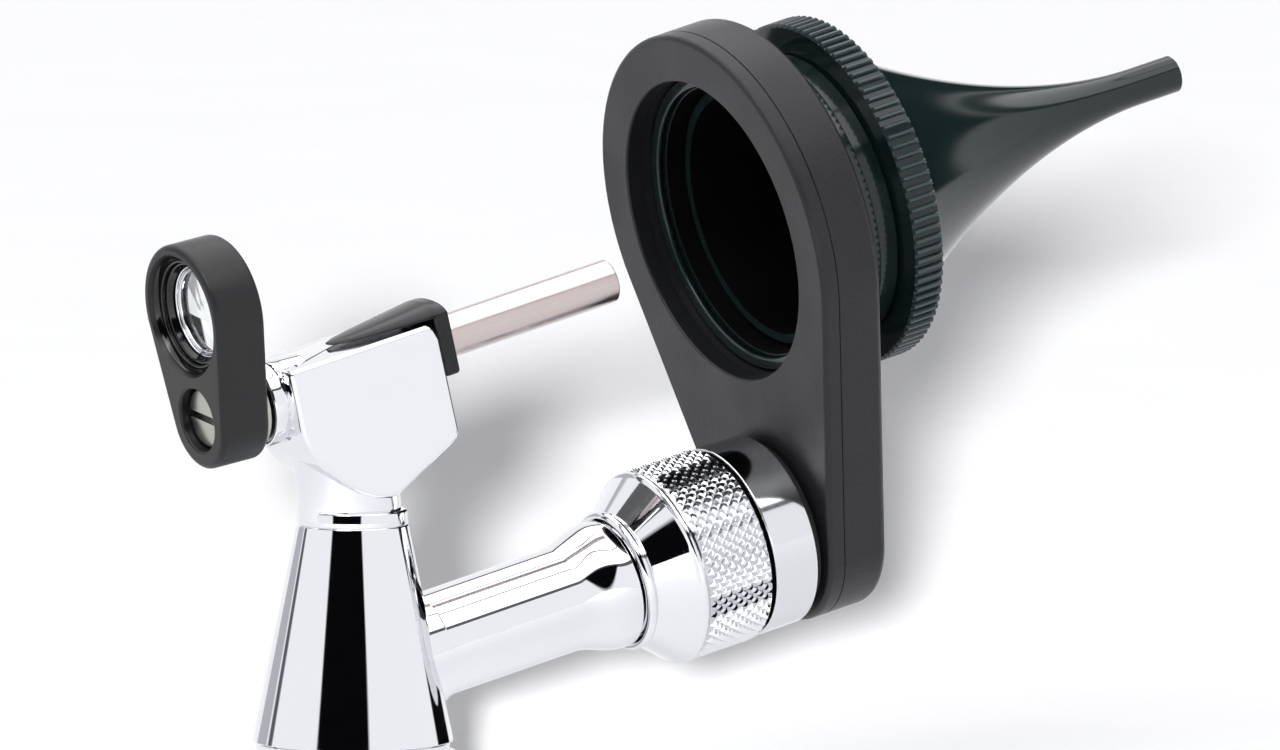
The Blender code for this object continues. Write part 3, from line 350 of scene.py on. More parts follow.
def moulded(name, colour, pale, rough, grain_mm, grain_height, shine=0.5):
    """A moulded plastic: grain of a real size, and a slightly paler tone on part of it."""
    made, tree = new_surface(name)
    spot = node(tree, "ShaderNodeTexCoord").outputs["Object"]
    grain = node(tree, "ShaderNodeTexNoise",
                 {"Scale": per_mm(grain_mm), "Detail": 4.0, "Roughness": 0.65}, {"Vector": spot})
    cloud = node(tree, "ShaderNodeTexNoise", {"Scale": per_mm(9), "Detail": 2.0}, {"Vector": spot})
    tone = node(tree, "ShaderNodeMix", {"data_type": "RGBA"}, {"Factor": grain.outputs[0]})
    tone.inputs[6].default_value = linear(colour)
    tone.inputs[7].default_value = linear(pale)
    gloss = node(tree, "ShaderNodeMapRange",
                 {"From Min": 0.3, "From Max": 0.7, "To Min": rough * 0.85, "To Max": rough * 1.15},
                 {"Value": cloud.outputs[0]})
    bump = node(tree, "ShaderNodeBump", {"Strength": 0.6, "Distance": grain_height * MM},
                {"Height": grain.outputs[0]})
    finish_surface(tree, {"IOR": 1.5, "Specular IOR Level": shine},
                   {"Base Color": tone.outputs[2], "Roughness": gloss.outputs[0],
                    "Normal": bump.outputs[0]})
    return made


nylon = moulded("moulded_glass_filled_nylon", "#010102", "#242528", 0.4, 0.28, 0.07, 0.38)
holder_nylon = moulded("moulded_black_nylon", "#050506", "#1a1b1d", 0.38, 0.26, 0.04, 0.4)
acetal = moulded("moulded_black_acetal", "#0d0e0f", "#17181a", 0.24, 0.5, 0.004, 0.35)
polypropylene = moulded("moulded_glossy_polypropylene", "#111c1c", "#172424", 0.12, 2.5, 0.004,
                        0.42)
# The rib tops: a satin gloss, and a paler teal than the speculum's own plastic, which paints their highlight.
rib_painted_highlight = moulded("satin_ribs_painted_highlight", "#1b2729", "#334448", 0.36, 0.3, 0.01, 0.6)
bore_plastic = moulded("moulded_gloss_black_acetal", "#030404", "#060707", 0.12, 1.5, 0.003)
# Painted shade: a matt black for the inner faces of the bores, which are the same plastic as the rest and dark
# only because they lie in shade.
painted_shade_bore = moulded("matt_black_painted_bore_shade", "#010101", "#030303", 0.6, 0.3, 0.01, 0.12)
phenolic = moulded("moulded_phenolic", "#5a4028", "#6e5134", 0.45, 0.4, 0.01)
nitrile = moulded("moulded_nitrile_rubber", "#121212", "#1a1a1a", 0.68, 0.2, 0.01)
print("made nine moulded finishes")

# %% [markdown]
# ## Glass
#
# Optical glass is clear and smooth. Its IOR is 1.52, and a faint uneven film in its gloss keeps
# it from looking like a hole.

# %% Optical glass


def optical_glass(name, colour):
    made, tree = new_surface(name)
    spot = node(tree, "ShaderNodeTexCoord").outputs["Object"]
    film = node(tree, "ShaderNodeTexNoise", {"Scale": per_mm(2), "Detail": 3.0}, {"Vector": spot})
    gloss = node(tree, "ShaderNodeMapRange",
                 {"From Min": 0.45, "From Max": 0.8, "To Min": 0.0, "To Max": 0.03},
                 {"Value": film.outputs[0]})
    finish_surface(tree, {"Base Color": linear(colour), "IOR": 1.52, "Transmission Weight": 1.0},
                   {"Roughness": gloss.outputs[0]})
    return made


glass = optical_glass("polished_optical_glass", "#f7fbfa")
print("made", glass.name)

# %% [markdown]
# ## Handing a piece over
#
# Each new piece takes a material, rides on the body it belongs to, and, unless told not to, hides the CAD node it
# stands for.

# %% Handing over
SLOT_OF = {row["node"]: row["material_slot"] for row in frame["record"]["subparts"]}
BODY_OF = {
    member: body
    for body, members in frame["record"]["behaviour"]["bodies"].items()
    for member in members
}


def hand_over(piece, finish, cad_node, hides=True):
    """Gives a piece its finish and its body, and hides the CAD node that it replaces unless hides is False."""
    shade(piece)
    piece.data.materials.clear()
    piece.data.materials.append(finish)
    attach(piece, BODY_OF[cad_node])
    if hides:
        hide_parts(cad_node)
    print(piece.name, "has", len(piece.data.polygons), "faces")
    return piece


# %% [markdown]
# ## The casting
#
# A turned skirt and cone carry the handle. Above the neck, an elbow bends back to the boss that
# the lens swings on, and a flat-sided block with crisp edges holds the lamp. The three are drawn
# apart and united, as a pattern maker would build them up, and then bored.

# %% Skirt, cone and neck
SKIRT = 11.3
SKIRT_TOP = 10.0
CONE_FOOT = 10.7
CONE_TOP = 33.0
CONE_HEAD = 5.95
NECK_TOP = 34.7
BAND_GROOVE = 0.12                # depth of the fine grooves round the neck


def in_metres(outline):
    return [(along * MM, radius * MM) for along, radius in outline]


casting = turned(
    "head_casting",
    in_metres([(0, 0), (0, SKIRT), (8.6, SKIRT), (9.0, CONE_FOOT - 0.4), (9.8, CONE_FOOT - 0.4),
               (SKIRT_TOP, CONE_FOOT), (CONE_TOP, CONE_HEAD),
               (CONE_TOP + 0.08, CONE_HEAD - BAND_GROOVE), (CONE_TOP + 0.2, CONE_HEAD),
               (NECK_TOP - 0.15, CONE_HEAD - BAND_GROOVE), (NECK_TOP, 5.6), (NECK_TOP, 0)]),
    ROW, 0.07 * MM)
print("cone drawn")

# %% Boss
boss_face = reach("pivot_washer", PIVOT)[1].z / MM + GAP
BOSS = 4.6
boss = turned(
    "boss",
    in_metres([(boss_face, 0), (boss_face, BOSS), (boss_face + 1.5, BOSS),
               (boss_face + 1.9, BOSS - 0.3), (boss_face + 6, BOSS - 0.3), (boss_face + 6, 0)]),
    PIVOT, 0.25 * MM)
print("boss drawn")

# %% [markdown]
# The elbow starts as two short open tubes, one on the neck and one on the boss. Bridge Edge Loops
# joins their facing rims with a surface that leaves each tube smoothly.

# %% Elbow
ELBOW_SIDES = 64
ELBOW_CUTS = 20
NECK_WAIST = 5.75
NECK_SHIFT = 0.35
ELBOW_HALF = 4.55
ELBOW_FLOW = 0.45                 # how far each tube's direction carries into the bend
RIM_MATCH = 0.01 * MM
NECK_RIM = NECK_TOP + 0.3
BOSS_RIM = boss_face + 2.0


def open_tube(radius, low, high):
    """Adds an open tube round z between two heights, inside the piece being edited."""
    bpy.ops.mesh.primitive_cylinder_add(
        vertices=ELBOW_SIDES, radius=radius * MM, depth=(high - low) * MM, end_fill_type="NOTHING",
        location=(0, 0, (low + high) / 2 * MM))


def elbow_piece():
    """The bent casting between the neck and the boss, closed at both ends."""
    bpy.ops.object.select_all(action="DESELECT")
    open_tube(BOSS - 0.15, boss_face + 0.8, BOSS_RIM)
    back = put(bpy.context.object, PIVOT)
    bpy.ops.object.select_all(action="DESELECT")
    open_tube(NECK_WAIST, NECK_TOP - 1.0, NECK_RIM)
    neck = bpy.context.object
    neck.scale = (1, ELBOW_HALF / NECK_WAIST, 1)
    neck.location.x = -NECK_SHIFT * MM
    put(neck, ROW)
    back.select_set(True)
    bpy.ops.object.join()
    neck.name = "elbow"
    inverse = PIVOT.inverted()

    def is_facing(corners):
        on_neck = all(abs(c.z - NECK_RIM * MM) < RIM_MATCH for c in corners)
        on_boss = all(abs((inverse @ c).z - BOSS_RIM * MM) < RIM_MATCH for c in corners)
        return on_neck or on_boss

    choose(neck, "EDGE", is_facing)
    bpy.ops.mesh.bridge_edge_loops(number_cuts=ELBOW_CUTS, interpolation="SURFACE",
                                   smoothness=ELBOW_FLOW)
    bpy.ops.mesh.select_all(action="SELECT")
    bpy.ops.mesh.fill_holes(sides=0)
    close_up()
    return neck


elbow = elbow_piece()
print("elbow has", len(elbow.data.polygons), "faces")

# %% Block
BLOCK_HALF = 5.0
BLOCK_TOP = 1.5
BLOCK_FRONT = -37.6
BLOCK_BACK = -56.2
BLOCK_EDGE = 0.55
BLOCK_OUTLINE = [
    (BLOCK_TOP, BLOCK_BACK), (BLOCK_TOP, BLOCK_FRONT - 1.3), (BLOCK_TOP - 0.5, BLOCK_FRONT - 0.45),
    (BLOCK_TOP - 1.7, BLOCK_FRONT), (-10.3, BLOCK_FRONT), (-11.4, BLOCK_FRONT - 0.5),
    (-14.4, -44.7), (-15.0, -46.1), (-15.1, -47.4), (-14.6, -49.1), (-13.5, -50.9),
    (-12.1, -52.5), (-10.2, -54.2), (-8.8, -55.2), (-7.4, -55.9), (-5.8, BLOCK_BACK)]


def block_piece():
    """The flat-sided block: its side outline, filled and extruded across the head."""
    piece = draw("block", [(-BLOCK_HALF * MM, up * MM, along * MM) for up, along in BLOCK_OUTLINE])
    bpy.ops.mesh.edge_face_add()
    bpy.ops.mesh.extrude_region_move(TRANSFORM_OT_translate={"value": (2 * BLOCK_HALF * MM, 0, 0)})
    close_up()
    apply_modifier(piece, "BEVEL", width=BLOCK_EDGE * MM, segments=5, limit_method="ANGLE",
                   angle_limit=math.radians(50))
    return put(piece, SIGHT)


block = block_piece()
print("block has", len(block.data.polygons), "faces")

# %% Sleeve that the arm is brazed into
ARM_BAR = 5.7
sleeve_face = -44.3
sleeve = turned(
    "arm_sleeve",
    in_metres([(-50, 0), (-50, ARM_BAR + 0.45), (sleeve_face - 0.4, ARM_BAR + 0.45)]
              + arc(sleeve_face, ARM_BAR + 0.5, 0.5, 190, 265, 5)
              + [(sleeve_face, 0)]),
    ARM)
print("sleeve drawn")

# %% Unite and bore the casting
SOCKET = 8.3
SOCKET_DEPTH = 9.0
insulator_high = reach("contact_insulator", ROW)[1]
well = insulator_high.x / MM + GAP
well_top = insulator_high.z / MM + GAP
handle_bore = turned(
    "handle_bore",
    in_metres([(-1, 0), (-1, SOCKET + 1.3), (0.35, SOCKET), (SOCKET_DEPTH, SOCKET),
               (SOCKET_DEPTH, well), (well_top, well), (well_top, 0)]),
    ROW)
tube_bore = reach("light_tube", TUBE)[1].x / MM + 0.25
lamp_start = reach("lamp_can", TUBE)[0].z / MM - GAP
lamp_bore = turned(
    "lamp_bore", in_metres([(lamp_start, 0), (lamp_start, tube_bore), (-30, tube_bore), (-30, 0)]),
    TUBE)
for part in (elbow, block, boss, sleeve):
    combine(casting, part, "UNION")
for bore in (handle_bore, lamp_bore):
    combine(casting, bore)
hand_over(casting, chrome, "head_body")

# %% [markdown]
# ## Arm and union nut
#
# The arm is a plain bar that flares to keep the nut captive. The nut has a bead, a polished cone,
# a lip and a knurl for the fingers.

# %% Arm
arm_low, arm_high = reach("arm", ARM)
FLARE_START = -27.6
FLARE_END = -22.2
FLARE = 7.0
FLARE_STEPS = 16
flare_length = FLARE_END - FLARE_START


def flare_point(i):
    """A point of the flare, which leaves the bar and meets its rim without a corner."""
    share = (3 - 2 * i / FLARE_STEPS) * (i / FLARE_STEPS) ** 2
    return FLARE_START + flare_length * i / FLARE_STEPS, ARM_BAR + (FLARE - ARM_BAR) * share


flare = [flare_point(i) for i in range(FLARE_STEPS + 1)]
arm = turned(
    "arm_bar",
    in_metres([(arm_low.z / MM, 0), (arm_low.z / MM, ARM_BAR)] + flare
              + [(-21.25, FLARE), (-21.25, ARM_BAR), (-18.3, ARM_BAR), (-18.3, 4.0),
                 (arm_high.z / MM, 3.0), (arm_high.z / MM, 0)]),
    ARM, 0.12 * MM)
hand_over(arm, chrome, "arm")

# %% Nut
nut_low, nut_high = reach("knurled_nut", ARM)
NUT_START = nut_low.z / MM
NUT_END = nut_high.z / MM
NUT = nut_high.x / MM
KNURL_ROOT = NUT - 0.38
LIP = -15.4
NUT_THREAD = NUT - 2.35
NUT_BORE = ARM_BAR + GAP
NUT_SHOULDER = NUT_START + 2.6
nut = turned(
    "union_nut",
    in_metres([(NUT_START + 0.4, NUT_BORE)]
              + arc(NUT_START + 0.6, 7.1, 0.6, 180, 20, 10)
              + [(NUT_START + 1.35, 7.32), (LIP - 0.75, NUT - 0.5)]
              + arc(LIP - 0.2, NUT - 0.42, 0.38, 165, 20, 8)
              + [(LIP + 0.55, KNURL_ROOT - 0.15), (NUT_END - 0.05, KNURL_ROOT - 0.15),
                 (NUT_END, NUT_THREAD), (NUT_SHOULDER, NUT_THREAD), (NUT_SHOULDER, NUT_BORE)]),
    ARM, 0.06 * MM)
hand_over(nut, chrome, "knurled_nut")

# %% [markdown]
# A diamond knurl is two sets of crossing grooves. It starts as a grid of square faces round a
# tube. Poking each face and dissolving the old grid lines leaves diamonds, and insetting each
# diamond outwards leaves a flat-topped pyramid between crossing grooves.

# %% Knurl
KNURL_AROUND = 52
KNURL_ROWS = 6
KNURL_INSET = 0.27
KNURL_HEIGHT = 0.36
knurl_low = (LIP + 0.45) * MM
knurl_high = (NUT_END - 0.1) * MM
knurl_row = (knurl_high - knurl_low) / KNURL_ROWS


def on_grid_line(corners):
    """True for an edge between two corners of the old grid, away from the tube's two rims."""
    rows = [(corner.z - knurl_low) / knurl_row for corner in corners]
    on_line = all(abs(row - round(row)) < 0.1 for row in rows)
    on_rim = all(row < 0.1 or row > KNURL_ROWS - 0.1 for row in rows) and rows[0] == rows[1]
    return on_line and not on_rim


def is_rim(corners):
    rows = [(corner.z - knurl_low) / knurl_row for corner in corners]
    return all(row < 0.01 for row in rows) or all(row > KNURL_ROWS - 0.01 for row in rows)


def knurl_piece():
    bpy.ops.object.select_all(action="DESELECT")
    bpy.ops.mesh.primitive_cylinder_add(
        vertices=KNURL_AROUND, radius=KNURL_ROOT * MM, depth=knurl_high - knurl_low,
        end_fill_type="NOTHING", location=(0, 0, (knurl_low + knurl_high) / 2))
    piece = put(bpy.context.object, ROW)
    piece.name = "knurl_band"
    choose(piece, "EDGE", lambda corners: abs(corners[0].z - corners[1].z) > knurl_row)
    bpy.ops.mesh.subdivide(number_cuts=KNURL_ROWS - 1)
    bpy.ops.mesh.select_all(action="SELECT")
    bpy.ops.mesh.poke()
    choose(piece, "EDGE", on_grid_line)
    bpy.ops.mesh.dissolve_edges(use_verts=False)
    choose(piece, "EDGE", is_rim)
    bpy.ops.mesh.extrude_region_move()
    bpy.ops.transform.resize(value=(0.9, 0.9, 1), center_override=(0, 0, 0))
    bpy.ops.mesh.bridge_edge_loops()
    choose(piece, "FACE", lambda corners: all(corner.xy.length > 0.97 * KNURL_ROOT * MM
                                              for corner in corners))
    bpy.ops.mesh.inset(use_individual=True, thickness=KNURL_INSET * MM, depth=KNURL_HEIGHT * MM)
    close_up()
    return put(piece, ARM)


hand_over(knurl_piece(), knurl_chrome, "knurled_nut", hides=False)

# %% [markdown]
# ## Collar, washers and screws
#
# The collar is turned, with a fine chamfer at each end, and a dark washer keeps it off the
# bracket.

# %% Collar and its washer
collar_low, collar_high = reach("swivel_collar", ARM)
COLLAR = collar_high.x / MM
SPIGOT = NUT_THREAD - GAP
COLLAR_START = -6.6
collar = turned(
    "turned_collar",
    in_metres([(collar_low.z / MM, 3.3), (collar_low.z / MM, SPIGOT), (COLLAR_START, SPIGOT),
               (COLLAR_START, COLLAR), (collar_high.z / MM, COLLAR), (collar_high.z / MM, 2.2),
               (-5.9, 2.2), (-5.9, 3.3)]),
    ARM, 0.18 * MM)
hand_over(collar, turned_chrome, "swivel_collar")


def ring_like(node_name, place, inner, edge, finish):
    """A turned ring with the ends and outer radius of a CAD node and rounded edges."""
    low, high = reach(node_name, place)
    outline = [(low.z, inner * MM), (low.z, high.x), (high.z, high.x), (high.z, inner * MM)]
    hand_over(turned(node_name + "_ring", outline, place, edge * MM), finish, node_name)


ring_like("collar_washer", ARM, 7.4, 0.15, nitrile)
ring_like("pivot_washer", PIVOT, 1.9, 0.12, screw_steel)

# %% Slotted screws


def slotted_screw(name, cad_node, place, outline, slot, turn, finish):
    """A turned screw whose driver slot is a box cut across its head: (width, low, high)."""
    screw = turned(name, in_metres(outline), place, 0.12 * MM)
    width, low, high = slot
    bpy.ops.object.select_all(action="DESELECT")
    bpy.ops.mesh.primitive_cube_add(size=1, scale=(20 * MM, width * MM, (high - low) * MM),
                                    location=(0, 0, (low + high) / 2 * MM))
    cutter = put(bpy.context.object, place @ Matrix.Rotation(math.radians(turn), 4, "Z"))
    combine(screw, cutter)
    return hand_over(screw, finish, cad_node)


pivot_low, pivot_high = reach("pivot_screw", PIVOT)
HEAD_TOP = pivot_low.z / MM
slotted_screw(
    "pivot_screw_slotted", "pivot_screw", PIVOT,
    [(HEAD_TOP, 0), (HEAD_TOP, 3.1), (HEAD_TOP + 1.6, 3.1), (HEAD_TOP + 1.6, 1.5),
     (pivot_high.z / MM, 1.5), (pivot_high.z / MM, 0)],
    (0.8, HEAD_TOP - 1, HEAD_TOP + 0.9), 8, screw_steel)
foot_low, foot_high = reach("bracket_screw", ARM)
FOOT_TOP = foot_high.z / MM
slotted_screw(
    "bracket_screw_slotted", "bracket_screw", ARM,
    [(foot_low.z / MM, 0), (foot_low.z / MM, 1.9), (FOOT_TOP - 2.2, 1.9), (FOOT_TOP - 0.2, 4.2),
     (FOOT_TOP, 4.2), (FOOT_TOP, 0)],
    (0.9, FOOT_TOP - 0.9, FOOT_TOP + 1), 0, foot_steel)

# %% [markdown]
# ## Bracket
#
# Two moulded pieces make the bracket, a thin cover and a thicker body, and their joint is the
# line round its edge. Each is the convex hull of two discs. Only the outer rims are rounded.

# %% Teardrop plates


def rim_test(height):
    return lambda corners: all(abs(corner.z - height) < 0.001 * MM for corner in corners)


def teardrop(name, head, foot, drop, low, high, place, rounds):
    """A teardrop plate between two heights. rounds gives (height, radius) of its rounded rims."""
    bpy.ops.object.select_all(action="DESELECT")
    middle = (low + high) / 2
    bpy.ops.mesh.primitive_cylinder_add(vertices=160, radius=head, depth=high - low,
                                        location=(0, 0, middle))
    piece = put(bpy.context.object, ROW)
    piece.name = name
    bpy.ops.object.mode_set(mode="EDIT")
    bpy.ops.mesh.primitive_cylinder_add(vertices=160, radius=foot, depth=high - low,
                                        location=(0, -drop, middle))
    bpy.ops.mesh.select_all(action="SELECT")
    bpy.ops.mesh.convex_hull()
    bpy.ops.mesh.select_all(action="SELECT")
    bpy.ops.mesh.dissolve_limited(angle_limit=math.radians(1))
    for height, radius in rounds:
        choose(piece, "EDGE", rim_test(height))
        bpy.ops.mesh.bevel(offset=radius, segments=7, profile=0.5, affect="EDGES")
    bpy.ops.mesh.select_all(action="SELECT")
    bpy.ops.mesh.normals_make_consistent(inside=False)
    return put(piece, place)


cover_low, cover_high = reach("bracket_plate", SIGHT)
body_low, body_high = reach("bracket_body", SIGHT)
RING = cover_high.x
FOOT = 10.7 * MM
DROP = (SIGHT.inverted() @ ARM.translation).y * -1
OPENING = 16.6
SEAM = 0.12 * MM
COVER_RIM = 0.6 * MM
SHELL_RIM = 1.0 * MM
SEAM_GAP = 0.05 * MM
print("bracket ring", round(RING / MM, 2), "drop", round(DROP / MM, 2))

# %% Cover and body
seam_low = body_low.z - SEAM_GAP
cover = teardrop("bracket_cover", RING, FOOT, DROP, cover_low.z, seam_low, SIGHT,
                 [(cover_low.z, COVER_RIM), (seam_low, SEAM)])
cover_mouth = turned(
    "cover_mouth",
    in_metres([(-1, 0), (-1, OPENING + 1.3)]
              + arc(0.28, OPENING + 0.3, 0.3, 180, 270, 6)
              + [(3, OPENING), (3, 0)]),
    SIGHT)
combine(cover, cover_mouth)
hand_over(cover, nylon, "bracket_plate")

shell = teardrop("bracket_shell", RING, FOOT, DROP, body_low.z, body_high.z, SIGHT,
                 [(body_low.z, SEAM), (body_high.z, SHELL_RIM)])
shell_mouth = turned(
    "shell_mouth",
    in_metres([(1, 0), (1, OPENING), (7.1, OPENING), (7.5, OPENING + 0.4), (9, OPENING + 1.9),
               (9, 0)]),
    SIGHT)
combine(shell, shell_mouth)
SINK_TOP = body_high.z / MM
screw_sink = turned(
    "screw_sink",
    in_metres([(0, 0), (0, 2.2), (SINK_TOP - 2.6, 2.2), (SINK_TOP - 0.3, 4.5),
               (SINK_TOP - 0.15, 4.5), (SINK_TOP + 0.3, 5.0), (SINK_TOP + 1, 5.0),
               (SINK_TOP + 1, 0)]),
    ARM)
combine(shell, screw_sink)
hand_over(shell, nylon, "bracket_body")

# %% [markdown]
# ## Locking ring and speculum
#
# The speculum's plug sits in a ring that turns in the bracket. Its flange has straight ribs for
# the fingers, and beyond it the funnel sweeps down to the 4 mm tip.

# %% Snap ring and locking ring
clip_low, clip_high = reach("seat_clip", SIGHT)
clip_out = clip_high.x / MM
SNAP_START = clip_low.z / MM + 0.8
SNAP_LENGTH = 0.7
snap = turned(
    "seat_snap_ring",
    in_metres([(SNAP_START, clip_out), (SNAP_START + SNAP_LENGTH, clip_out),
               (SNAP_START + SNAP_LENGTH, clip_out - 0.9)]
              + arc(SNAP_START + 0.25, clip_out - 0.95, 0.25, -60, -180, 7)
              + [(SNAP_START, clip_out - 0.6)]),
    SIGHT)
hand_over(snap, polypropylene, "seat_clip")

lock_high = reach("locking_ring", SIGHT)[1]
LOCK_OUT = OPENING - GAP
LOCK_IN = LOCK_OUT - 1.4
LIP_START = body_high.z / MM + GAP
LIP_OUT = lock_high.x / MM
POCKET_START = 8.1
POCKET_END = 9.9
POCKET = LOCK_IN + 0.6
lock = turned(
    "locking_ring_gloss",
    in_metres([(SNAP_START + 1, LOCK_IN), (SNAP_START + 1, LOCK_OUT), (LIP_START, LOCK_OUT),
               (LIP_START, LIP_OUT), (10.6, LIP_OUT - 0.8), (10.6, LOCK_OUT - 0.5),
               (lock_high.z / MM, LOCK_OUT - 0.5), (lock_high.z / MM, LOCK_IN),
               (POCKET_END, LOCK_IN), (POCKET_END, POCKET), (POCKET_START, POCKET),
               (POCKET_START, LOCK_IN)]),
    SIGHT, 0.14 * MM)
hand_over(lock, polypropylene, "locking_ring")


FACING_IN = -0.3


def paint_bore_shade(piece):
    """Gives the faces that look towards the sight axis a matt black colour: painted shade for the dark inside of
    the bore, which is the same plastic as the rest.
    """
    piece.data.materials.append(painted_shade_bore)
    inverse = SIGHT.inverted()
    turn = inverse.to_3x3()
    for face in piece.data.polygons:
        outwards = (inverse @ face.center).to_2d()
        if (turn @ face.normal).to_2d().dot(outwards) < FACING_IN * outwards.length:
            face.material_index = 1


# Painted shade on the inner faces of the locking ring.
paint_bore_shade(lock)

# %% Speculum
plug_low, tip_high = reach("speculum", SIGHT)
PLUG_START = plug_low.z / MM
TIP_END = tip_high.z / MM
FLANGE = tip_high.x / MM
FLANGE_START = 13.7
FLANGE_END = 17.2
RIB_COUNT = 100
RIB_HEIGHT = 0.42
RIB_ROOT = FLANGE - RIB_HEIGHT
FUNNEL_STEPS = 36
MOUTH = 15.6
TIP = 2.03
TIP_WALL = 0.45
WALL = 1.0
SWEEP = 1.85
PLUG = LOCK_IN - 0.6
CURVE_END = TIP_END - 5.0


def funnel(share):
    """Place, outside radius and wall of the funnel, from its mouth (0) to its tip (1)."""
    along = FLANGE_END + (CURVE_END - FLANGE_END) * share
    radius = TIP + (MOUTH - TIP) * (1 - share) ** SWEEP
    return along, radius, WALL + (TIP_WALL - WALL) * share


stations = [funnel(i / FUNNEL_STEPS) for i in range(FUNNEL_STEPS + 1)]
outside = [(along, radius) for along, radius, wall in stations]
inside = [(along, radius - wall) for along, radius, wall in stations
          if radius - wall < PLUG - WALL]
speculum = turned(
    "ear_speculum",
    in_metres([(PLUG_START, PLUG - WALL), (PLUG_START, PLUG), (FLANGE_START, PLUG),
               (FLANGE_START, RIB_ROOT), (FLANGE_END, RIB_ROOT), (FLANGE_END, MOUTH + 0.5)]
              + outside
              + [(TIP_END - 0.12, TIP), (TIP_END, TIP - 0.12), (TIP_END, TIP - TIP_WALL)]
              + inside[::-1]),
    ROW, steps=2 * RIB_COUNT)


def on_rib(corners):
    """Every second face of the flange's rim, counted round the axis."""
    middle = sum(corners, Vector()) / len(corners)
    step = math.floor(math.atan2(middle.y, middle.x) / math.tau * 2 * RIB_COUNT)
    return step % 2 == 0 and min(c.xy.length for c in corners) > (RIB_ROOT - 0.05) * MM


choose(speculum, "FACE", on_rib)
bpy.ops.mesh.inset(use_individual=True, thickness=0.05 * MM, depth=0.6 * RIB_HEIGHT * MM)
bpy.ops.mesh.inset(use_individual=True, thickness=0.12 * MM, depth=0.38 * RIB_HEIGHT * MM)
put(speculum, SIGHT)
hand_over(speculum, polypropylene, "speculum")
# Painted shade on the inner faces of the speculum's plug and funnel.
paint_bore_shade(speculum)
# The rib tops take the satin finish, whose paler colour is a painted highlight.
speculum.data.materials.append(rib_painted_highlight)
for face in speculum.data.polygons:
    if (SIGHT.inverted() @ face.center).xy.length > (RIB_ROOT + 0.02) * MM:
        face.material_index = 2

# %% [markdown]
# ## Lens holder and lens
#
# The holder is a thick moulded teardrop. The eye side is countersunk in steps down to the ring
# that keeps the lens in, and the pivot screw sits deep in a plain hole.

# %% Holder
holder_low, holder_high = reach("lens_holder", LENS)
HOLDER_END = holder_high.z / MM
HOLDER = holder_high.x
LENS_DROP = (PIVOT.inverted() @ LENS.translation).y
holder_foot = (PIVOT.inverted() @ (LENS @ holder_low)).y * -1
HOLDER_RIM = 0.65 * MM
holder = teardrop("moulded_lens_holder", HOLDER, holder_foot, LENS_DROP, holder_low.z,
                  holder_high.z, LENS, [(holder_low.z, HOLDER_RIM), (holder_high.z, HOLDER_RIM)])
lens_high = reach("lens", LENS)[1]
LENS_OUT = lens_high.x / MM
SEAT = LENS_OUT + GAP
LENS_EDGE_LOW = 3.3
LENS_EDGE_HIGH = 4.3
eye_bore = turned(
    "eye_bore",
    in_metres([(-1, 0), (-1, 7.2), (0.05, 6.65), (0.45, 6.35), (1.6, 6.25), (2.1, SEAT),
               (LENS_EDGE_HIGH + 0.3, SEAT),
               (LENS_EDGE_HIGH + 0.3, LENS_OUT - 0.6), (HOLDER_END - 0.3, LENS_OUT - 0.6),
               (HOLDER_END + 1, LENS_OUT + 0.7), (HOLDER_END + 1, 0)]),
    LENS)
combine(holder, eye_bore)
HEAD_HOLE = 3.4
SHANK_HOLE = 2.6
pivot_bore = turned(
    "pivot_bore",
    in_metres([(-1, 0), (-1, HEAD_HOLE + 1.2)]
              + arc(0.3, HEAD_HOLE + 0.3, 0.3, 180, 270, 4)
              + [(HEAD_TOP + 1.9, HEAD_HOLE), (HEAD_TOP + 1.9, SHANK_HOLE),
                 (HOLDER_END + 1, SHANK_HOLE), (HOLDER_END + 1, 0)]),
    PIVOT)
combine(holder, pivot_bore)
hand_over(holder, holder_nylon, "lens_holder")

# %% Lens and its ring
CROWN = 0.75
CROWN_STEPS = 12
crown = [(CROWN * (1 - (i / CROWN_STEPS) ** 2), LENS_OUT * i / CROWN_STEPS)
         for i in range(CROWN_STEPS + 1)]
glass_back = [(LENS_EDGE_LOW - rise, radius) for rise, radius in crown]
glass_front = [(LENS_EDGE_HIGH + rise, radius) for rise, radius in crown[::-1]]
viewing_lens = turned("viewing_lens", in_metres(glass_back + glass_front), LENS)
hand_over(viewing_lens, glass, "lens")

RING_END = reach("lens_ring", LENS)[1].z / MM
BEAD = 0.2
retainer = turned(
    "lens_retaining_ring",
    in_metres([(RING_END, LENS_OUT), (RING_END, LENS_OUT - 1.05)]
              + arc(RING_END - 0.25, LENS_OUT - 0.85, BEAD, 290, 110, 8)
              + arc(RING_END - 0.5, LENS_OUT - 0.45, BEAD, 250, 110, 8)
              + [(RING_END - 0.5, LENS_OUT)]),
    LENS)
hand_over(retainer, chrome, "lens_ring")
bezel = turned(
    "eye_bezel",
    in_metres([(0.45, 6.25), (0.95, 5.95)] + arc(1.25, 5.75, 0.2, 110, 250, 5)
              + arc(1.75, 5.4, 0.22, 110, 250, 5)
              + [(2.05, 4.9), (2.05, SEAT - 0.1), (1.5, 6.2)]),
    LENS)
hand_over(bezel, bore_plastic, "lens_holder", hides=False)

# %% [markdown]
# ## Light tube and clip
#
# The tube is drawn nickel silver with a clean cut end. The clip is one moulding: a tongue that
# runs back along the block's top and a leg down its front, with a hole for the tube.

# %% Light tube
tube_low, tube_high = reach("light_tube", TUBE)
TUBE_OUT = tube_high.x / MM
TUBE_IN = TUBE_OUT - 0.45
tube = turned(
    "light_tube_drawn",
    in_metres([(tube_low.z / MM, TUBE_IN), (tube_low.z / MM, TUBE_OUT),
               (tube_high.z / MM, TUBE_OUT), (tube_high.z / MM, TUBE_IN)]),
    TUBE, 0.12 * MM)
hand_over(tube, drawn_nickel, "light_tube")

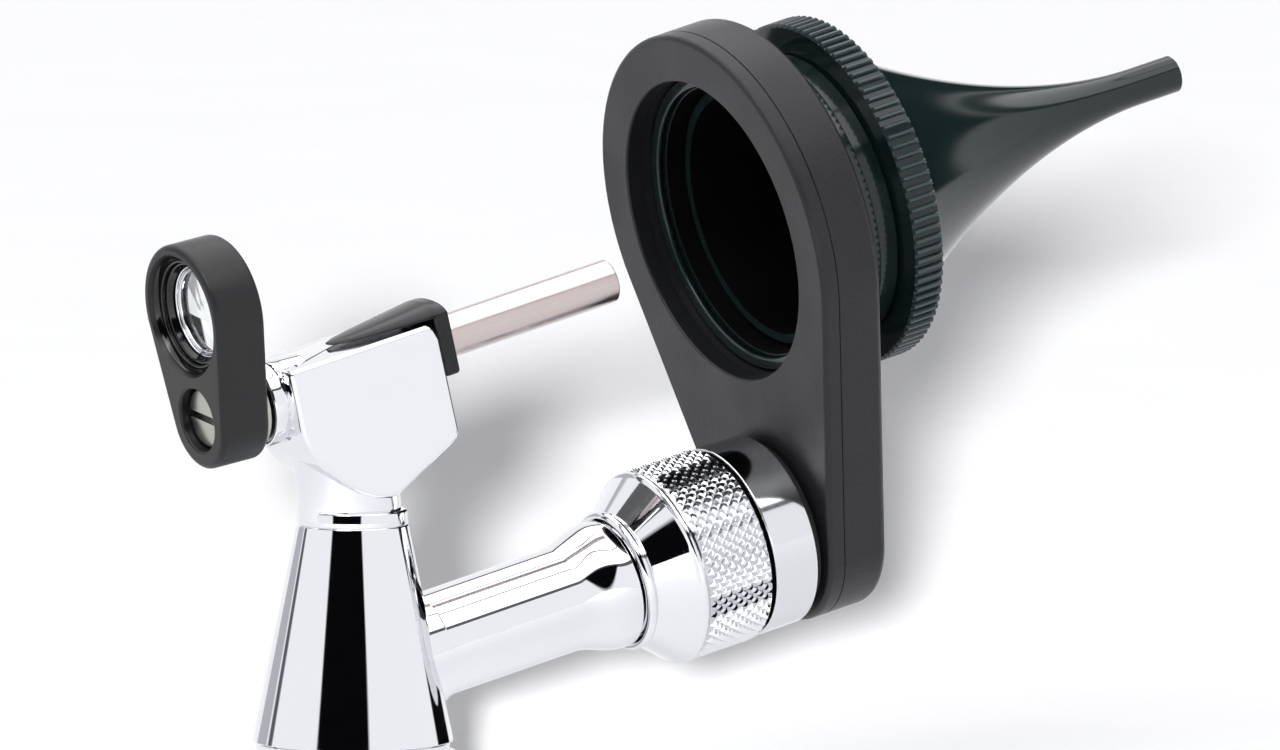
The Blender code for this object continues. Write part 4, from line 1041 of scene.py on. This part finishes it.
# %% Clip
clip_box_low, clip_box_high = reach("lamp_clip", SIGHT)
CLIP_HALF = clip_box_high.x / MM
CLIP_TOP = clip_box_high.y / MM
CLIP_BASE = BLOCK_TOP + 0.28
CLIP_TIP = clip_box_low.z / MM
CLIP_FACE = clip_box_high.z / MM
CLIP_BACK = BLOCK_FRONT + GAP
TONGUE_STEPS = 10
TIP_WIDE = 0.14                   # share of the tongue's width and height left at its tip
TIP_TALL = 0.22
ARCH_STEPS = 20
TONGUE_ROOT = CLIP_BACK + 0.6


def arch(half, rise, base, along):
    """A closed loop: a flat base and an arched top."""
    angles = [math.pi * i / ARCH_STEPS for i in range(ARCH_STEPS + 1)]
    return [(half * math.cos(a) * MM, (base + rise * math.sin(a)) * MM, along * MM)
            for a in angles]


def clip_piece():
    """The tongue is an arch extruded back in shrinking steps; the leg is a rounded slab."""
    rise = CLIP_TOP - CLIP_BASE
    tongue = draw("lamp_clip_moulded", arch(CLIP_HALF, rise, CLIP_BASE, TONGUE_ROOT))
    bpy.ops.mesh.edge_face_add()
    length = (TONGUE_ROOT - CLIP_TIP) / TONGUE_STEPS
    wide = tall = 1.0
    for i in range(1, TONGUE_STEPS + 1):
        left = 1 - i / TONGUE_STEPS
        new_wide = TIP_WIDE + (1 - TIP_WIDE) * math.sqrt(left)
        new_tall = TIP_TALL + (1 - TIP_TALL) * left
        bpy.ops.mesh.extrude_region_move(
            TRANSFORM_OT_translate={"value": (0, 0, -length * MM)})
        bpy.ops.transform.resize(value=(new_wide / wide, new_tall / tall, 1),
                                 center_override=(0, CLIP_BASE * MM, 0))
        wide = new_wide
        tall = new_tall
    close_up()
    low = clip_box_low.y / MM
    top = arch(CLIP_HALF, rise, CLIP_BASE, CLIP_BACK)
    leg = draw("clip_leg", top + [(-CLIP_HALF * MM, low * MM, CLIP_BACK * MM),
                                  (CLIP_HALF * MM, low * MM, CLIP_BACK * MM)])
    bpy.ops.mesh.edge_face_add()
    bpy.ops.mesh.extrude_region_move(
        TRANSFORM_OT_translate={"value": (0, 0, (CLIP_FACE - CLIP_BACK) * MM)})
    close_up()
    round_edges(leg, 0.45 * MM, 4)
    combine(tongue, leg, "UNION")
    put(tongue, SIGHT)
    hole = turned("clip_hole", in_metres([(-45, 0), (-45, tube_bore), (CLIP_FACE + 0.1, tube_bore),
                                          (CLIP_FACE + 1, tube_bore + 0.9), (CLIP_FACE + 1, 0)]),
                  TUBE)
    combine(tongue, hole)
    return tongue


hand_over(clip_piece(), acetal, "lamp_clip")

# %% [markdown]
# ## The pieces that stay as they are
#
# The small inner pieces already have the right shape. Each gets the finish of its material.

# %% Finishes for the inner pieces
INNER_FINISHES = {
    "steel": socket_steel, "brass": contact_brass, "insulator": phenolic, "nickel": drawn_nickel,
    "rubber": nitrile, "glass": glass,
}
kept = [name for name, item in frame["nodes"].items() if not item.hide_render]
for name in kept:
    frame["nodes"][name].material_slots[0].material = INNER_FINISHES[SLOT_OF[name]]
print("kept from the packed model:", sorted(kept))

# %% [markdown]
# ## Floor, light and camera
#
# A pale matt floor, a bright surround and one soft lamp from the upper left. Chrome shows only
# what is round it, so the surround has cards, which draw the dark stripes that make chrome read as
# chrome. Diffuse light sees an even fill instead. A low sun lights the floor alone, for a long
# shadow, and a long lens keeps the instrument's proportions.

# %% Floor


def paper_floor():
    made, tree = new_surface("matt_white_card")
    spot = node(tree, "ShaderNodeTexCoord").outputs["Object"]
    fibre = node(tree, "ShaderNodeTexNoise", {"Scale": per_mm(30), "Detail": 3.0}, {"Vector": spot})
    tone = node(tree, "ShaderNodeMix", {"data_type": "RGBA"}, {"Factor": fibre.outputs[0]})
    tone.inputs[6].default_value = linear("#f1f1f2")
    tone.inputs[7].default_value = linear("#f5f5f6")
    finish_surface(tree, {"Roughness": 0.9}, {"Base Color": tone.outputs[2]})
    return made


FLOOR_SIZE = 12.0
bpy.ops.object.select_all(action="DESELECT")
bpy.ops.mesh.primitive_plane_add(size=FLOOR_SIZE, location=(0, 0, -0.5 * MM))
floor = bpy.context.object
floor.name = "floor"
floor.data.materials.append(paper_floor())

# %% Camera
VIEW_AZIMUTH = math.radians(-30.7)
VIEW_ELEVATION = math.radians(6.0)
VIEW_WIDTH = 135.9 * MM
DISTANCE = 3.0
SENSOR = 36.0


def direction(turn, rise):
    """The unit vector towards an azimuth, counted from the row's -Y, and an elevation."""
    return Vector((math.sin(turn) * math.cos(rise), -math.cos(turn) * math.cos(rise),
                   math.sin(rise)))


back = direction(VIEW_AZIMUTH, VIEW_ELEVATION)
aim = Vector((28.3, -12.1, 48.5)) * MM
lens_data = bpy.data.cameras.new("camera")
lens_data.sensor_width = SENSOR
lens_data.lens = SENSOR * DISTANCE / VIEW_WIDTH
lens_data.clip_start = 0.05
lens_data.clip_end = 50.0
camera = bpy.data.objects.new("camera", lens_data)
bpy.context.scene.collection.objects.link(camera)
camera.location = aim + back * DISTANCE
camera.rotation_euler = back.to_track_quat("Z", "Y").to_euler()
bpy.context.scene.camera = camera
print("camera lens", round(lens_data.lens), "mm")

# %% Surround and lamps


def card_mask(tree, way, height, turn, half_width, low, high):
    """1 where a dark card stands: its middle's azimuth and half width, and its heights."""
    towards = Vector((math.sin(turn), -math.cos(turn), 0))
    across = Vector((math.cos(turn), math.sin(turn), 0))
    side = node(tree, "ShaderNodeVectorMath", {"operation": "DOT_PRODUCT"}, {0: way})
    side.inputs[1].default_value = across
    off = node(tree, "ShaderNodeMath", {"operation": "ABSOLUTE"}, {0: side.outputs["Value"]})
    facing = node(tree, "ShaderNodeVectorMath", {"operation": "DOT_PRODUCT"}, {0: way})
    facing.inputs[1].default_value = towards
    edge = math.sin(half_width)
    steps = [
        (off.outputs[0], edge, edge - 0.04),
        (facing.outputs["Value"], 0.0, 0.05),
        (height, low, low + 0.04),
        (height, high, high - 0.05),
    ]
    mask = None
    for value, none, full in steps:
        share = node(tree, "ShaderNodeMapRange", {"From Min": none, "From Max": full},
                     {"Value": value}).outputs[0]
        if mask is None:
            mask = share
        else:
            mask = node(tree, "ShaderNodeMath", {"operation": "MULTIPLY"},
                        {0: mask, 1: share}).outputs[0]
    return mask


# Each card: the azimuth of its middle, its half width in degrees, its top and its colour.
CARDS = [
    (VIEW_AZIMUTH + math.radians(-11), 31, 0.66, "#08080a"),
    (math.radians(114), 29, 0.58, "#0c0c0e"),
    (math.radians(-141), 5, 0.58, "#5c5c62"),
    (math.radians(-160), 13, 0.45, "#b4b4ba"),
]
CARD_FOOT = -0.2
SIDE_STRENGTH = 1.17
OVERHEAD_STRENGTH = 2.6
GAP_STRENGTH = 0.12               # share of the light left in the gaps between the panels
FILL_STRENGTH = 0.27


def surround():
    """Reflections see a bright room with cards in it; diffuse light sees an even fill."""
    world = bpy.data.worlds.new("studio")
    world.use_nodes = True
    tree = world.node_tree
    tree.nodes.clear()
    way = node(tree, "ShaderNodeTexCoord").outputs["Generated"]
    height = node(tree, "ShaderNodeSeparateXYZ", links={0: way}).outputs["Z"]
    colour = node(tree, "ShaderNodeRGB").outputs[0]
    colour.default_value = linear("#f5f5f7")
    for turn, half_width, high, shade_of in CARDS:
        mask = card_mask(tree, way, height, turn, math.radians(half_width), CARD_FOOT,
                         high)
        layer = node(tree, "ShaderNodeMix", {"data_type": "RGBA"}, {"Factor": mask})
        tree.links.new(colour, layer.inputs[6])
        layer.inputs[7].default_value = linear(shade_of)
        colour = layer.outputs[2]
    overhead = node(tree, "ShaderNodeMapRange",
                    {"From Min": 0.66, "From Max": 0.68, "To Min": SIDE_STRENGTH,
                     "To Max": OVERHEAD_STRENGTH}, {"Value": height})
    gap = node(tree, "ShaderNodeMath", {"operation": "COMPARE", 1: 0.62, 2: 0.035}, {0: height})
    seam = node(tree, "ShaderNodeMath", {"operation": "COMPARE", 1: 0.93, 2: 0.006}, {0: height})
    gaps = node(tree, "ShaderNodeMath", {"operation": "MAXIMUM"},
                {0: gap.outputs[0], 1: seam.outputs[0]})
    dim = node(tree, "ShaderNodeMapRange", {"To Min": 1.0, "To Max": GAP_STRENGTH},
               {"Value": gaps.outputs[0]})
    power = node(tree, "ShaderNodeMath", {"operation": "MULTIPLY"},
                 {0: overhead.outputs[0], 1: dim.outputs[0]})
    seen = node(tree, "ShaderNodeBackground", links={"Color": colour, "Strength": power.outputs[0]})
    fill = node(tree, "ShaderNodeBackground",
                {"Color": linear("#f8f9ff"), "Strength": FILL_STRENGTH})
    ray = node(tree, "ShaderNodeLightPath")
    sky = node(tree, "ShaderNodeMixShader", links={"Fac": ray.outputs["Is Diffuse Ray"]})
    tree.links.new(seen.outputs[0], sky.inputs[1])
    tree.links.new(fill.outputs[0], sky.inputs[2])
    node(tree, "ShaderNodeOutputWorld", links={"Surface": sky.outputs[0]})
    bpy.context.scene.world = world


def soft_lamp(name, place, size, power):
    """An area lamp that looks at the middle of the object."""
    data = bpy.data.lights.new(name, "AREA")
    data.size = size
    data.energy = power
    lamp = bpy.data.objects.new(name, data)
    bpy.context.scene.collection.objects.link(lamp)
    lamp.location = aim + Vector(place)
    lamp.rotation_euler = Vector(place).to_track_quat("Z", "Y").to_euler()


SUN_POWER = 18
SUN_ANGLE = math.radians(1.8)
SUN_AZIMUTH = VIEW_AZIMUTH + math.radians(-1.4)
SUN_ELEVATION = math.radians(6.8)


def low_sun():
    """A low sun over the camera's shoulder that lights the floor only, for the long shadow."""
    data = bpy.data.lights.new("low_sun", "SUN")
    data.energy = SUN_POWER
    data.angle = SUN_ANGLE
    lamp = bpy.data.objects.new("low_sun", data)
    bpy.context.scene.collection.objects.link(lamp)
    way = direction(SUN_AZIMUTH, SUN_ELEVATION)
    lamp.rotation_euler = way.to_track_quat("Z", "Y").to_euler()
    lit = bpy.data.collections.new("floor_only")
    lit.objects.link(floor)
    lamp.light_linking.receiver_collection = lit


surround()
soft_lamp("key", (-0.9, -0.7, 1.0), 0.7, 6)
low_sun()
bpy.context.scene.view_settings.view_transform = "Standard"
print("lamps and surround ready")
